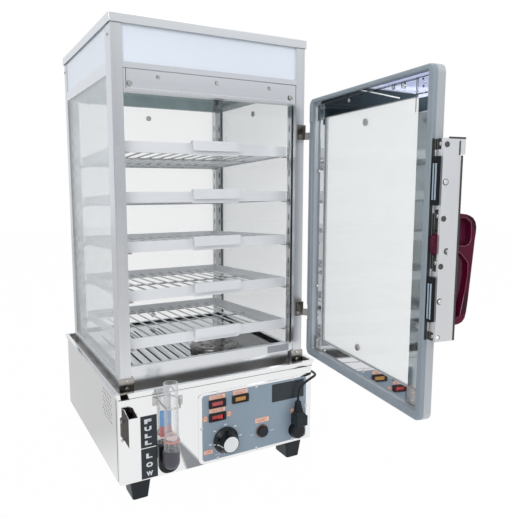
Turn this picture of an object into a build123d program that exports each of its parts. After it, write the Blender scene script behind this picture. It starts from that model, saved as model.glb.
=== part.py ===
"""Countertop food steamer display case.

A polished steel boiler base carries a glazed cabinet with five pull-out wire shelves, a lit
header box and a glass door hung on the right. The door stands open, as in the photograph.
X runs to the right of someone facing the case, Y runs away from them, Z is up. The origin is
on the worktop under the middle of the base. Heights in this file are above the underside of
the base body, and save() lifts every piece by the height of the feet.
"""
from build123d import *
import math
import os

# Base body
base_width = 380.0
base_depth = 422.0
body_height = 146.0
rim_height = body_height + 12.0
rim_flare = 4.7
sheet = 1.5
thin_sheet = 1.2
foot_height = 35.0
foot_top = (36.0, 50.0)
foot_bottom = (27.0, 44.0)
foot_x = 153.0
foot_y = 180.0

# Glazed cabinet
post_x = 178.0
post_front = -189.0
post_back = 180.0
post_face = 18.0
post_side = 31.0
cap_bottom = 739.5
cap_top = 753.8
cap_overhang = 2.3
glass_thickness = 4.0
deck_top = body_height + 0.8
sill_bottom = 174.5
sill_top = 192.0
floor_level = 170.0
rail_bottom = 639.0
trim_bottom = 673.8
header_bottom = 682.5
side_rail_bottom = 665.0
side_rail_top = 677.0
ceiling_level = 695.0
seam = 0.9
bracket_out = base_width / 2 - 9.4

# Shelves
shelf_count = 5
shelf_pitch = 82.5
shelf_low_top = 234.0
shelf_half_width = 154.0
shelf_front = -166.0
shelf_depth = 324.0
shelf_fascia = 18.0
shelf_tilt = 2.8
shelf_wires = 12
wire_pitch = 22.8
wire_radius = 1.6
shelf_tab = (-38.5, 53.0)
slide_gap = 0.4

# Door, drawn closed and then swung open about the hinge axis
door_open = 82.5
hinge_x = 189.0
hinge_y = -206.0
door_right = 177.0
door_left = -164.0
door_bottom = 175.5
door_top = 645.5
door_face = -189.4
gasket_height = 5.9
gasket_width = 12.0
frame_depth = 12.0
glass_margin_side = 41.0
glass_margin_end = 35.0
hinge_heights = (590.0, 256.5)

# Latch at the free edge
latch_plate_x = -178.6
latch_z = (291.0, 552.0)
latch_y = (-222.0, -196.4)
magnet_face = -190.6
latch_recess = ((383.0, 463.0), (538.0, 552.0), (291.0, 303.0))
magnet_spots = ((468.0, 530.0), (317.0, 376.0))
pivot_y = -213.6
pivot_z = 408.6
pivot_radius = 3.0
running_gap = 0.05

# Controls on the front face
front_y = -base_depth / 2
knob_x, knob_z = 1.8, 39.0
reset_x, reset_z = 77.3, 38.7
lamp_red = (-14.2, 110.2)
lamp_amber = (31.7, 110.6)
rocker_at = (-14.2, 85.2)
rocker_lean = 8.0
gauge_x, gauge_y = -106.0, -228.6
socket_x, socket_z = 151.0, 26.0
cord_radius = 2.4

DOOR = Axis((hinge_x, hinge_y, 0), (0, 0, 1))


# Small shape helpers
def slab(x0, x1, y0, y1, z0, z1):
    return Pos((x0 + x1) / 2, (y0 + y1) / 2, (z0 + z1) / 2) * Box(x1 - x0, y1 - y0, z1 - z0)


def rod(axis, at, radius, a, b):
    """A round bar along an axis between a and b; at gives its two other coordinates in X, Y, Z order."""
    bar = Cylinder(radius, b - a)
    mid = (a + b) / 2
    if axis == "x":
        return Pos(mid, at[0], at[1]) * Rot(0, 90, 0) * bar
    if axis == "y":
        return Pos(at[0], mid, at[1]) * Rot(90, 0, 0) * bar
    return Pos(at[0], at[1], mid) * bar


def prism(axis, points, a, b):
    """A polygon pulled along an axis from a to b; the points are the other two coordinates."""
    face = make_face(Polyline(*points, close=True))
    if axis == "x":
        return extrude(Plane.YZ.offset(a) * face, b - a)
    if axis == "y":
        return extrude(Plane.XZ.offset(-b) * face, b - a)
    return extrude(Plane.XY.offset(a) * face, b - a)


def outline(axis, sketch, a, b):
    """A sketch pulled along an axis from a to b, in the plane of the other two coordinates."""
    if axis == "x":
        return extrude(Plane.YZ.offset(a) * sketch, b - a)
    if axis == "y":
        return extrude(Plane.XZ.offset(-b) * sketch, b - a)
    return extrude(Plane.XY.offset(a) * sketch, b - a)


def screw(x, y, z, way, radius=2.6, head=1.4, shank=5.0):
    """A pan-head screw: the head stands out along way from its seat at x, y, z."""
    cap = Cylinder(radius, head, align=(Align.CENTER, Align.CENTER, Align.MIN))
    cap = chamfer(cap.edges().group_by(Axis.Z)[-1], 0.3 * head)
    if head > 1:
        cap -= Pos(0, 0, head) * Box(radius * 2.2, 0.7, 0.9)
    body = cap
    if shank:
        body += Cylinder(radius * 0.5, shank, align=(Align.CENTER, Align.CENTER, Align.MAX))
    turn = {"-y": Rot(90, 0, 0), "+y": Rot(-90, 0, 0), "-x": Rot(0, -90, 0), "+x": Rot(0, 90, 0),
            "-z": Rot(180, 0, 0), "+z": Rot(0, 0, 0)}[way]
    return Pos(x, y, z) * turn * body


def swing(shape):
    return shape.rotate(DOOR, door_open)


def save(name, shapes):
    """Write one node, lifted by the feet. A list stays as separate solids."""
    shapes = shapes if isinstance(shapes, (list, tuple)) else [shapes]
    solids = []
    for shape in shapes:
        solids.extend(shape.moved(Location((0, 0, foot_height))).solids())
    whole = solids[0] if len(solids) == 1 else Compound(children=solids)
    export_step(whole, f"parts/{name}.step")
    nodes[name] = solids


# Base
def base_shell():
    w, d = base_width, base_depth
    body = slab(-w / 2, w / 2, -d / 2, d / 2, 0, body_height)
    body = fillet(body.edges().filter_by(Axis.Z), 6)
    body = fillet(body.edges().group_by(Axis.Z)[0], 2)
    rim = loft([
        Plane.XY.offset(body_height) * RectangleRounded(w, d, 6),
        Plane.XY.offset(rim_height) * RectangleRounded(w + 2 * rim_flare, d + 2 * rim_flare, 8),
    ])
    hollow = slab(-w / 2 + sheet, w / 2 - sheet, -d / 2 + sheet, d / 2 - sheet, sheet, body_height)
    hollow = fillet(hollow.edges().filter_by(Axis.Z), 4.5)
    hollow = fillet(hollow.edges().group_by(Axis.Z)[0], 1)
    f = rim_flare - sheet
    top = loft([
        Plane.XY.offset(body_height) * RectangleRounded(w - 2 * sheet, d - 2 * sheet, 4.5),
        Plane.XY.offset(rim_height - sheet) * RectangleRounded(w + 2 * f, d + 2 * f, 6.5),
    ])
    mouth = outline("z", RectangleRounded(w - 5, d - 5, 5), rim_height - sheet, rim_height)
    shell = body + rim - hollow - top - mouth
    shell -= slab(-w / 2 + 22, w / 2 - 22, -d / 2 + 22, d / 2 - 22, -1, sheet)
    # The window behind the control plate, and the ways through for water and the supply cord
    shell -= slab(-36, 118, front_y - 1, front_y + sheet + 1, 18, 118)
    shell -= rod("y", (gauge_x, 32), 8.4, front_y - 1, front_y + sheet + 1)
    shell -= slab(-178.5, -165.5, front_y - 1, front_y + sheet + 1, 84, 124)
    shell -= rod("y", (110, 60), 9.2, -front_y - sheet - 1, -front_y + 1)
    # The vent in the left wall: staggered rows of small diamond holes
    for row in range(7):
        for col in range(6):
            y = -168 + 10 * col + (5 if row % 2 else 0)
            z = 94 + 7.5 * row
            hole = Pos(-w / 2 + sheet / 2, y, z) * Rot(45, 0, 0) * Box(sheet + 2, 3, 3)
            shell -= hole
    return shell


def deck_pan():
    """The gutter inside the rim and the deck that the cabinet stands on, with the tank opening."""
    w, d = base_width - 5.4, base_depth - 5.4
    wall = outline("z", RectangleRounded(w, d, 5), body_height - 0.4, rim_height - sheet - 0.1)
    wall -= outline("z", RectangleRounded(w - 2 * thin_sheet, d - 2 * thin_sheet, 4),
                    body_height + 0.8, rim_height)
    pan = wall - slab(-138, 138, -148, 138, body_height - 2, body_height + 2)
    return pan


def water_tank():
    top = body_height - 0.4
    tank = slab(-146, 146, -156, 146, top - thin_sheet, top)
    tank += slab(-140, 140, -150, 140, 70, top)
    tank -= slab(-140 + thin_sheet, 140 - thin_sheet, -150 + thin_sheet, 140 - thin_sheet,
                 70 + thin_sheet, top + 1)
    return tank - slab(-138, 138, -148, 138, top - 2, top + 2)


def heating_element():
    """A bent sheathed heater lying over the tank floor, its two ends at the front wall."""
    z = 86
    pts = [(-40, -148.6, z), (-40, -110, z), (-95, -70, z), (-95, 60, z), (95, 60, z),
           (95, -70, z), (40, -110, z), (40, -148.6, z)]
    path = FilletPolyline(*pts, radius=18)
    tube = sweep(Plane(origin=path @ 0, z_dir=path % 0) * Circle(4.2), path=path)
    collars = [rod("y", (x, z), 9, -148.8, -145) for x in (-40, 40)]
    return tube + collars


def bottom_plate():
    plate = slab(-180, 180, -203, 203, -thin_sheet, 0)
    for i in range(5):
        plate -= slab(-60, 60, -40 + 20 * i - 2.5, -40 + 20 * i + 2.5, -2, 1)
    return plate


def feet():
    solids = []
    for sx in (-1, 1):
        for sy in (-1, 1):
            foot = loft([
                Pos(0, 0, -thin_sheet) * RectangleRounded(*foot_top, 4),
                Pos(0, 0, -foot_height) * RectangleRounded(*foot_bottom, 4),
            ])
            solids.append(Pos(sx * foot_x, sy * foot_y, 0) * foot)
    return solids


def supply_gland():
    gland = rod("y", (110, 60), 9, -front_y - 6, -front_y + 6)
    gland += outline("y", Pos(110, 60) * RegularPolygon(13, 6), -front_y, -front_y + 5)
    gland += rod("y", (110, 60), 8, -front_y, -front_y + 14)
    return gland - rod("y", (110, 60), 4.2, -front_y - 10, -front_y + 20)


# Controls
def control_plate():
    plate = outline("y", Pos(66, 67.5) * RectangleRounded(232, 129, 9), front_y - 1, front_y)
    for x, z, w, h in ((*lamp_red, 29, 11.5), (*lamp_amber, 29, 11.5), (*rocker_at, 29, 11.5)):
        plate -= slab(x - w / 2, x + w / 2, front_y - 2, front_y + 1, z - h / 2, z + h / 2)
    plate -= rod("y", (knob_x, knob_z), 5.2, front_y - 2, front_y + 1)
    plate -= rod("y", (reset_x, reset_z), 6.6, front_y - 2, front_y + 1)
    return plate


def control_label():
    """The blue-grey facing on the plate, notched round the plate screws."""
    face = outline("y", Pos(66, 67.2) * RectangleRounded(218, 121.5, 6), front_y - 1.5, front_y - 1)
    for x, z, w, h in ((*lamp_red, 29, 11.5), (*lamp_amber, 29, 11.5), (*rocker_at, 29, 11.5)):
        face -= slab(x - w / 2, x + w / 2, front_y - 3, front_y + 1, z - h / 2, z + h / 2)
    face -= rod("y", (knob_x, knob_z), 5.2, front_y - 3, front_y + 1)
    face -= rod("y", (reset_x, reset_z), 6.6, front_y - 3, front_y + 1)
    for x, z in plate_screw_spots():
        face -= rod("y", (x, z), 3.1, front_y - 3, front_y - 1)
    return face


def plate_screw_spots():
    spots = [(x, z) for z in (127.0, 7.4) for x in (-14.0, 65.5, 144.5)]
    return spots + [(-44.2, 67.6), (174.6, 68.4)]


def lamp_bezel(centre, slope=0.0):
    """A black snap-in frame, 33 by 15, with its window cut right through."""
    x, z = centre
    frame = outline("y", Pos(x, z) * RectangleRounded(33, 14.8, 1.2), front_y - 5, front_y - 1.5)
    frame = chamfer(frame.edges().group_by(Axis.Y)[0], 0.8)
    frame += slab(x - 14.3, x + 14.3, front_y - 2, front_y + 14, z - 5.6, z + 5.6)
    return frame - slab(x - 11.2, x + 11.2, front_y - 8, front_y + 12.5, z - 4.2, z + 4.2)


def lens(centre, height):
    x, z = centre
    body = slab(x - 11.2, x + 11.2, front_y - height, front_y + 6, z - 4.2, z + 4.2)
    return fillet(body.edges().group_by(Axis.Y)[0], 0.8)


def rocker():
    """A see-saw rocker on trunnions along Z, leaning so that its left end is pressed in."""
    x, z = rocker_at
    pivot = front_y + 1.0
    shape = prism("z", [(-10, pivot - 4.6), (0, pivot - 3.2), (10, pivot - 4.6), (10, pivot - 1.0),
                        (4, pivot + 3.0), (-4, pivot + 3.0), (-10, pivot - 1.0)], -3.9, 3.9)
    shape = Pos(x, 0, z) * shape
    shape += rod("z", (x, pivot), 1.2, z - 5.0, z + 5.0)
    return shape.rotate(Axis((x, pivot, 0), (0, 0, 1)), -rocker_lean)


def switch_bezel():
    x, z = rocker_at
    frame = lamp_bezel(rocker_at)
    frame -= slab(x - 12.4, x + 12.4, front_y + 0.5, front_y + 8, z - 4.2, z + 4.2)
    return frame - rod("z", (x, front_y + 1.0), 1.25, z - 5.2, z + 5.2)


def thermostat_knob():
    """A tapered knob with a skirt, a grip and a flat white face, on its D-shaft."""
    x, z, y = knob_x, knob_z, front_y
    profile = make_face(Polyline((0, -1.9), (24, -1.9), (24, -5.5), (21.5, -8.0), (18.0, -12.0),
                                 (15.6, -25.0), (0, -25.0), close=True))
    knob = revolve(Plane(origin=(x, y, z), x_dir=(1, 0, 0), z_dir=(0, 0, 1)) * profile,
                   Axis((x, y, z), (0, 1, 0)))
    # The finger scallops round the grip
    for i in range(6):
        a = math.radians(60 * i + 37)
        cx, cz = x + 22.6 * math.cos(a), z + 22.6 * math.sin(a)
        knob -= rod("y", (cx, cz), 5.2, y - 26, y - 9.5)
    knob -= rod("y", (x, z), 3.0, y - 16, y)
    knob -= rod("y", (x, z), 14.2, y - 26, y - 24.2)
    # The raised pointer on the skirt
    a = math.radians(187)
    px, pz = x + 18 * math.cos(a), z + 18 * math.sin(a)
    rib = Pos(px, y - 8.6, pz) * Rot(0, -187, 0) * Box(9, 2.4, 1.4)
    return knob + rib


def knob_face():
    return rod("y", (knob_x, knob_z), 14.2, front_y - 25.3, front_y - 24.2)


def thermostat():
    """The switch body behind the plate, with a bushing and nut in the plate's hole."""
    x, z, y = knob_x, knob_z, front_y
    body = slab(x - 19, x + 19, y + 4, y + 30, z - 18, z + 18)
    body += rod("y", (x, z), 5.0, y - 1.7, y + 4)
    body += rod("y", (x, z), 9.5, y, y + 4)
    return body - rod("y", (x, z), 3.0 + running_gap, y - 3, y + 20)


def knob_shaft():
    return rod("y", (knob_x, knob_z), 3.0, front_y - 16, front_y + 19)


def reset_collar():
    ring = rod("y", (reset_x, reset_z), 6.4, front_y - 1.5, front_y + 12)
    ring += rod("y", (reset_x, reset_z), 12.2, front_y - 2.7, front_y - 1.5)
    ring += slab(reset_x - 14, reset_x + 14, front_y + 4, front_y + 18, reset_z - 11, reset_z + 11)
    return ring - rod("y", (reset_x, reset_z), 4.0 + running_gap, front_y - 6, front_y + 14)


def reset_button():
    """A round black cap on a plunger, pressed straight in."""
    cap = rod("y", (reset_x, reset_z), 10.2, front_y - 8.0, front_y - 5.2)
    cap = fillet(cap.edges().group_by(Axis.Y)[0], 0.9)
    return cap + rod("y", (reset_x, reset_z), 4.0, front_y - 5.2, front_y + 9)


def lamp_socket():
    """The round angled outlet that the cabinet lamp plugs into from above."""
    x, z, y = socket_x, socket_z, front_y - 1.5
    drum = rod("y", (x, z), 14, y - 15, y)
    drum = fillet(drum.edges().group_by(Axis.Y)[0], 3)
    neck = slab(x - 9, x + 9, y - 14, y, z, z + 14.5)
    seat = drum + neck + rod("y", (x, z), 15.5, y - 2.5, y)
    return seat - slab(x - 4.2, x + 4.2, y - 12, y - 5, z + 2, z + 15)


def lamp_plug():
    """The cabinet lamp's plug: a block with sloped shoulders and a ribbed, tapering strain relief."""
    x, y, z = socket_x, front_y - 11.0, socket_z + 14.5
    block = slab(x - 12, x + 12, y - 16, y + 6.6, z, z + 20)
    block = fillet(block.edges(), 1.6)
    block += loft([
        Pos(x, y - 4.7, z + 19.5) * RectangleRounded(22, 20.6, 1.5),
        Pos(x, y - 1.5, z + 25) * RectangleRounded(16, 13, 2.5),
    ])
    relief = loft([
        Pos(x, y - 1.5, z + 24.5) * RectangleRounded(16, 13, 2.5),
        Pos(x - 0.5, y, z + 45) * RectangleRounded(9.6, 8.6, 2.5),
    ])
    for i in range(4):
        k = z + 27 + 4.4 * i
        cut = slab(x - 12, x + 12, y - 12, y + 9, k, k + 1.4)
        cut -= slab(x - 4.6, x + 3.8, y - 4.0, y + 3.6, k - 1, k + 2.5)
        relief -= cut
    pins = slab(x - 3.8, x + 3.8, y - 2.2, y + 2.2, z - 11, z + 2)
    return block + relief + pins


# Water fill, level label and gauge
def fill_hopper():
    """The open-topped water inlet: a narrow folded pocket with a flange on its left."""
    x0, x1, y0, y1, t = -180.5, -164.3, front_y - 27, front_y, 1.2
    side = [(y1, 78), (y0, 76), (y0, 124), (y1, 131)]
    pocket = prism("x", side, x0, x1)
    pocket -= prism("x", [(y1 + 2, 79.5), (y0 + t, 77.4), (y0 + t, 126), (y1 + 2, 133)],
                    x0 + t, x1 - t)
    flange = slab(-187.5, x0 + t, y1 - t, y1, 72, 120)
    plate = slab(x1 - t, -155.5, y1 - t, y1, 72, 120)
    return pocket + flange + plate


def level_plate():
    """The black level label, in two lengths with a bright line between them."""
    x0, x1 = -153.3, -125.3
    return [slab(x0, x1, front_y - 0.8, front_y, 57.8, 112.7),
            slab(x0, x1, front_y - 0.8, front_y, 3.0, 55.8)]


def gauge_tube():
    tube = rod("z", (gauge_x, gauge_y), 12.4, 71, 169)
    return tube - rod("z", (gauge_x, gauge_y), 10.6, 70, 170)


def gauge_scale():
    """The coloured card behind the tube that shows the level range."""
    return [slab(gauge_x - 13.5, gauge_x + 6, front_y - 0.8, front_y, 89, 116),
            slab(gauge_x - 13.5, gauge_x + 6, front_y - 0.8, front_y, 70, 88.6)]


def gauge_float():
    ring = rod("z", (gauge_x, gauge_y), 9.8, 72.6, 79.2)
    ring = fillet(ring.edges(), 1.0)
    return ring - rod("z", (gauge_x, gauge_y), 4.6, 72, 80)


def gauge_coupling():
    """The threaded clear collar under the tube."""
    body = rod("z", (gauge_x, gauge_y), 13.2, 51, 68)
    for k in (54, 58.2, 62.4):
        ring = rod("z", (gauge_x, gauge_y), 15, k, k + 1.6)
        body -= ring - rod("z", (gauge_x, gauge_y), 12.3, k - 1, k + 3)
    body += rod("z", (gauge_x, gauge_y), 10.5, 68, 72.5)
    return body - rod("z", (gauge_x, gauge_y), 6.2, 50, 73.5)


def gauge_ring():
    ring = rod("z", (gauge_x, gauge_y), 14.2, 68, 71)
    ring = fillet(ring.edges(), 1.1)
    return ring - rod("z", (gauge_x, gauge_y), 10.55, 67, 72)


def gauge_boot():
    """The dark rubber elbow that leads from the tube back into the base."""
    boot = rod("z", (gauge_x - 1, gauge_y), 14.2, 33, 51)
    boot += Pos(gauge_x - 1, gauge_y, 33) * Sphere(14.2)
    boot += rod("y", (gauge_x, 32), 8.2, gauge_y, front_y + 8)
    boot += rod("y", (gauge_x, 32), 12.0, front_y - 3, front_y)
    boot -= rod("z", (gauge_x, gauge_y), 8.4, 36, 52)
    return boot


def gauge_clamp():
    """A spring-wire loop that holds the tube, hooked under a small plate on the left."""
    r = 1.3
    pts = [(gauge_x - 23, front_y - 3.2, 143), (gauge_x - 17, front_y - 3.2, 138),
           (gauge_x - 14.6, gauge_y - 2, 133), (gauge_x - 10.5, gauge_y - 14.2, 129.5),
           (gauge_x + 10.5, gauge_y - 14.2, 129.5), (gauge_x + 14.6, gauge_y - 2, 132),
           (gauge_x + 19, front_y - 3.2, 134), (gauge_x + 25, front_y - 3.2, 126)]
    path = FilletPolyline(*pts, radius=2.6)
    wire = sweep(Plane(origin=path @ 0, z_dir=path % 0) * Circle(r), path=path)
    tab = slab(gauge_x - 26, gauge_x - 17.5, front_y - 1.5, front_y, 128, 144)
    hook = slab(gauge_x + 20.5, gauge_x + 27, front_y - 1.5, front_y, 121, 137)
    return wire, [tab, hook]


# Cabinet
def both_sides(shape):
    return [shape, mirror(shape, about=Plane.YZ)]


def corner_posts():
    """Four folded angle posts; the front pair has a short return beside the door opening."""
    t, top = thin_sheet, cap_top - thin_sheet
    xo, xi = post_x, post_x - post_face
    front = slab(xi, xo, post_front, post_front + t, deck_top, top)
    front += slab(xo - t, xo, post_front, post_front + post_side, deck_top, top)
    front += slab(xi, xi + t, post_front, post_front + 8, deck_top, top)
    rear = slab(xi, xo, post_back - t, post_back, deck_top, top)
    rear += slab(xo - t, xo, post_back - 22, post_back, deck_top, top)
    posts = both_sides(front) + both_sides(rear)
    posts[2] -= rod("y", (168, 712), 4.5, post_back - 5, post_back + 5)
    return posts


def roof_cap():
    x, y0, y1, t = post_x + cap_overhang, post_front - 2.8, post_back + cap_overhang, thin_sheet
    cap = slab(-x, x, y0, y1, cap_bottom, cap_top)
    cap = fillet(cap.edges().filter_by(Axis.Z) + cap.edges().group_by(Axis.Z)[-1], 1.5)
    return cap - slab(-x + t, x - t, y0 + t, y1 - t, cap_bottom - 1, cap_top - t)


def header_panels():
    """The lit frosted panels of the header: one at the front and one at each side."""
    side = slab(173.6, 176.8, -170, 170, header_bottom + 0.5, cap_top - 6)
    front = slab(-160, 160, -186, -183, header_bottom, cap_top - 6)
    return [front] + both_sides(side)


def cabinet_rails():
    """Folded rails between the posts, over and under the glass, and the header's steel back."""
    t, x, z = thin_sheet, post_x - post_face, rail_bottom
    # The front rail's face stops short of the posts and the trim, which leaves a dark seam round it
    front = slab(-x + seam, x - seam, -188, -188 + t, z, trim_bottom - seam)
    front += slab(-x, x, -187.6, -166, z + 0.4, z + t)
    front += slab(-x + seam, x - seam, -188, -176, trim_bottom - seam - t, trim_bottom - seam)
    trim = slab(-x, x, -189.4, -188, trim_bottom, header_bottom)
    trim += slab(-x, x, -189.4, -182, header_bottom - t, header_bottom)
    trim += slab(-x, x, -189.4, -180, trim_bottom, trim_bottom + t)
    side = slab(post_x - t, post_x, -158, 158, side_rail_bottom, header_bottom + 0.5)
    side += slab(170, post_x, -158, 158, side_rail_top - t, side_rail_top)
    side += slab(170, post_x, -158, 158, header_bottom - 0.7, header_bottom + 0.5)
    back = slab(-x, x, post_back - t, post_back, side_rail_bottom, cap_top - t)
    back += slab(-x, x, 171, post_back, side_rail_bottom, side_rail_bottom + t)
    back += slab(-x, x, 171, 171 + t, side_rail_bottom, ceiling_level)
    sill = slab(-x, x, -186, -186 + t, sill_bottom, sill_top)
    sill += slab(-x, x, -186, -176.4, sill_top - t, sill_top)
    sill += slab(-x, x, -186, -181, sill_bottom, sill_bottom + t)
    sill += slab(-x, x, -182.2, -181, deck_top, sill_bottom + t)
    skirt = slab(post_x - t, post_x, -158, 158, deck_top, 175)
    skirt += slab(170.5, post_x, -158, 158, 175 - t, 175)
    tail = slab(-x, x, post_back - t, post_back, deck_top, 175)
    tail += slab(-x, x, 172.5, post_back, 175 - t, 175)
    return [front, trim, back, sill, tail] + both_sides(side) + both_sides(skirt)


def glass_panes():
    side = slab(post_x - thin_sheet - glass_thickness, post_x - thin_sheet, -182, 174.6, 175,
                side_rail_bottom + 10.8)
    y = post_back - thin_sheet
    return both_sides(side) + [slab(-176.6, 176.6, y - glass_thickness, y, 175, side_rail_bottom)]


def glass_bumpers():
    """Clear round spacers on the insides of the fixed panes."""
    x = post_x - thin_sheet - glass_thickness
    dots = both_sides(rod("x", (-4, 643), 5.5, x - 3, x))
    y = post_back - thin_sheet - glass_thickness
    return dots + [rod("y", (0, z), 5.5, y - 3, y) for z in (641, 189)]


def ceiling_plate():
    """The translucent sheet between the lamp and the shelves."""
    return slab(-170, 170, -180, 171, ceiling_level, ceiling_level + 3)


def header_lamp():
    """A tube lamp across the header between two holders that stand on the ceiling sheet."""
    z = ceiling_level + 24
    tube = rod("x", (0, z), 8, -136, 136)
    holder = slab(134, 148, -12, 12, ceiling_level + 3, z + 12)
    holder -= rod("x", (0, z), 8, 133, 139)
    return [tube] + both_sides(holder)


def uprights():
    """Slotted channels in the corners that the shelf clips hook into."""
    t = thin_sheet
    front = slab(158.8, 158.8 + t, -176, -162, deck_top, rail_bottom)
    front += slab(158.8, 170, -176, -176 + t, deck_top, rail_bottom)
    front += slab(158.8, 170, -162 - t, -162, deck_top, rail_bottom)
    rear = slab(157, 157 + t, 155, 172, deck_top, side_rail_bottom)
    rear += slab(157, 170, 155, 155 + t, deck_top, side_rail_bottom)
    rear += slab(157, 170, 172 - t, 172, deck_top, side_rail_bottom)
    for i in range(15):
        z = shelf_low_top + shelf_pitch / 3 * i + 6
        front -= slab(157, 161.5, -171, -167, z - 6, z + 6)
        rear -= slab(156, 159.5, 161, 165, z - 6, z + 6)
        rear -= slab(165, 168, 154, 157, z - 6, z + 6)
    return both_sides(front) + both_sides(rear)


def tilted(shape, top):
    """Carry a shape drawn level from a shelf's front top edge to its tilted place."""
    return Pos(0, shelf_front, top) * Rot(-shelf_tilt, 0, 0) * shape


def shelf_clip(front):
    """A bent tongue: a pad under the shelf's side rail and a hook through the upright."""
    pad_top = -shelf_fascia - slide_gap
    if front:
        clip = slab(148, 158.8, -5.5, 6, pad_top - 1.6, pad_top)
        clip += slab(157.4, 158.8, -5.5, 3.5, pad_top - 7, pad_top + 4)
        return clip
    clip = slab(148, 157, 306, 326, pad_top - 1.6, pad_top)
    return clip + slab(155.6, 157, 320, 334, pad_top - 7, pad_top + 4)


def shelf_clips():
    clips = []
    for i in range(shelf_count):
        for front in (True, False):
            clips += both_sides(tilted(shelf_clip(front), shelf_low_top + shelf_pitch * i))
    return clips


def shelf(index):
    """A frame of folded sheet with rods welded in from front to back, and a pull on its front."""
    w, d, h, t = shelf_half_width, shelf_depth, shelf_fascia, 1.5
    frame = slab(-w, w, 0, d, -h, 0) - slab(-w + t, w - t, t, d - t, -h - 1, 1)
    frame += slab(-w, -w + 8, 0, d, -h, -h + t) + slab(w - 8, w, 0, d, -h, -h + t)
    frame += slab(-w, w, 0, 7, -h, -h + t) + slab(-w, w, d - 7, d, -h, -h + t)
    rods = [rod("x", (d * 0.5, -10 - 2 * wire_radius), wire_radius, -w + t, w - t)]
    for i in range(shelf_wires):
        x = (i - (shelf_wires - 1) / 2) * wire_pitch
        rods.append(rod("y", (x, -10), wire_radius, t, d - t))
    # The pull: a plate on the fascia whose top is folded over and hangs in front of it
    a, b = shelf_tab
    pull = outline("y", Pos((a + b) / 2, -4.5) * Rectangle(b - a, 17), -9, -7.6)
    low = pull.edges().filter_by(Axis.Y).group_by(Axis.Z)[0]
    pull = fillet(low, 3)
    pull += slab(a, b, -9, 0, 2.6, 4)
    plate = outline("y", Pos((a + b) / 2, -8.2) * Rectangle(b - a, 24.4), -1.2, 0)
    pull += chamfer(plate.edges().filter_by(Axis.Y).group_by(Axis.Z)[0], 2)
    top = shelf_low_top + shelf_pitch * (shelf_count - 1 - index)
    return [tilted(piece, top) for piece in [frame + pull] + rods]


def steam_floor():
    """The slotted tray over the tank; its folded edges stand on the deck."""
    x, y0, y1, t = 156.4, -160.0, 154.0, thin_sheet
    tray = slab(-x, x, y0, y1, deck_top, floor_level)
    tray -= slab(-x + t, x - t, y0 + t, y1 - t, deck_top - 1, floor_level - t)
    for i in range(8):
        sx = -135 + 18 * i
        tray -= slab(sx - 1.8, sx + 1.8, -128, -20, floor_level - 3, floor_level + 1)
        tray -= slab(sx - 1.8, sx + 1.8, 10, 118, floor_level - 3, floor_level + 1)
    tray += rod("z", (35, -90), 38, floor_level - t, floor_level)
    return tray


def steam_diffuser():
    """A low pressed cap over the main steam outlet, holed on top and notched round its side."""
    x, y, z = 35, -90, floor_level
    cap = rod("z", (x, y), 46, z, z + 13)
    cap = fillet(cap.edges().group_by(Axis.Z)[-1], 5)
    hollow = rod("z", (x, y), 44.7, z - 1, z + 11.8)
    cap -= fillet(hollow.edges().group_by(Axis.Z)[-1], 3.8)
    for i in range(8):
        a = math.radians(45 * i + 12)
        cap -= rod("z", (x + 27 * math.cos(a), y + 27 * math.sin(a)), 3.4, z + 5, z + 15)
    for i in range(12):
        a = 30 * i
        notch = Pos(x, y, z) * Rot(0, 0, a) * (Pos(45, 0, 2.5) * Box(8, 7, 5))
        cap -= notch
    return cap


def corner_brackets():
    """Angle feet that hold the front posts down to the deck."""
    t = 1.2
    foot = slab(156, bracket_out, post_front - t, post_front, deck_top, door_bottom - 0.6)
    foot += slab(156, bracket_out, -204, post_front, deck_top, deck_top + t)
    return both_sides(foot)


def strike_strip():
    """The steel strip on the left post that the door's magnets grip."""
    return slab(-177.6, -166.5, post_front - 0.8, post_front, 293, 553)


def screw_spots():
    """Every screw on the base and cabinet: its seat, the way its head faces, and its head radius."""
    spots = [(x, -188, 650.5, "-y", 4.2) for x in (-149, 149)]
    spots += [(x, -188, z, "-y", 2.4) for x, z in ((-102, 663), (1, 662), (104, 662))]
    spots += [(s * post_x, y, 724, "+x" if s > 0 else "-x", 2.6) for s in (-1, 1) for y in (-173, 174)]
    spots += [(s * 168, post_front - 1.2, z, "-y", 3.0) for s in (-1, 1) for z in (157, 171)]
    spots += [(s * 168, -197.5, deck_top + 1.2, "+z", 3.0) for s in (-1, 1)]
    spots += [(x, post_back, z, "+y", 2.6) for x in (-140, 140) for z in (160, 730)]
    spots += [(x, front_y - 1.0, z, "-y", 2.5) for x, z in plate_screw_spots()]
    spots += [(-184, front_y - 1.2, z, "-y", 2.4) for z in (111.5, 79.7)]
    spots += [(169, post_front - 1.5, z + dz, "-y", 2.8) for z in hinge_heights for dz in (-7.5, 7.5)]
    return spots


def screws(spots):
    return [screw(x, y, z, way, radius, 0.4 if y == post_front - 1.5 else 1.4, 3.2)
            for x, y, z, way, radius in spots]


def drilled(shapes):
    """The same sheets with a hole for each screw that passes through them."""
    out = []
    for shape in shapes if isinstance(shapes, list) else [shapes]:
        box = shape.bounding_box()
        for x, y, z, way, radius in screw_spots():
            lo, hi = box.min, box.max
            if all(a - 4 < v < b + 4 for a, v, b in zip(lo, (x, y, z), hi)):
                turn = {"-y": Rot(90, 0, 0), "+y": Rot(-90, 0, 0), "-x": Rot(0, -90, 0),
                        "+x": Rot(0, 90, 0), "+z": Rot(0, 0, 0)}[way]
                shape -= Pos(x, y, z) * turn * Cylinder(radius / 2, 6.6)
        out.append(shape)
    return out


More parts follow.
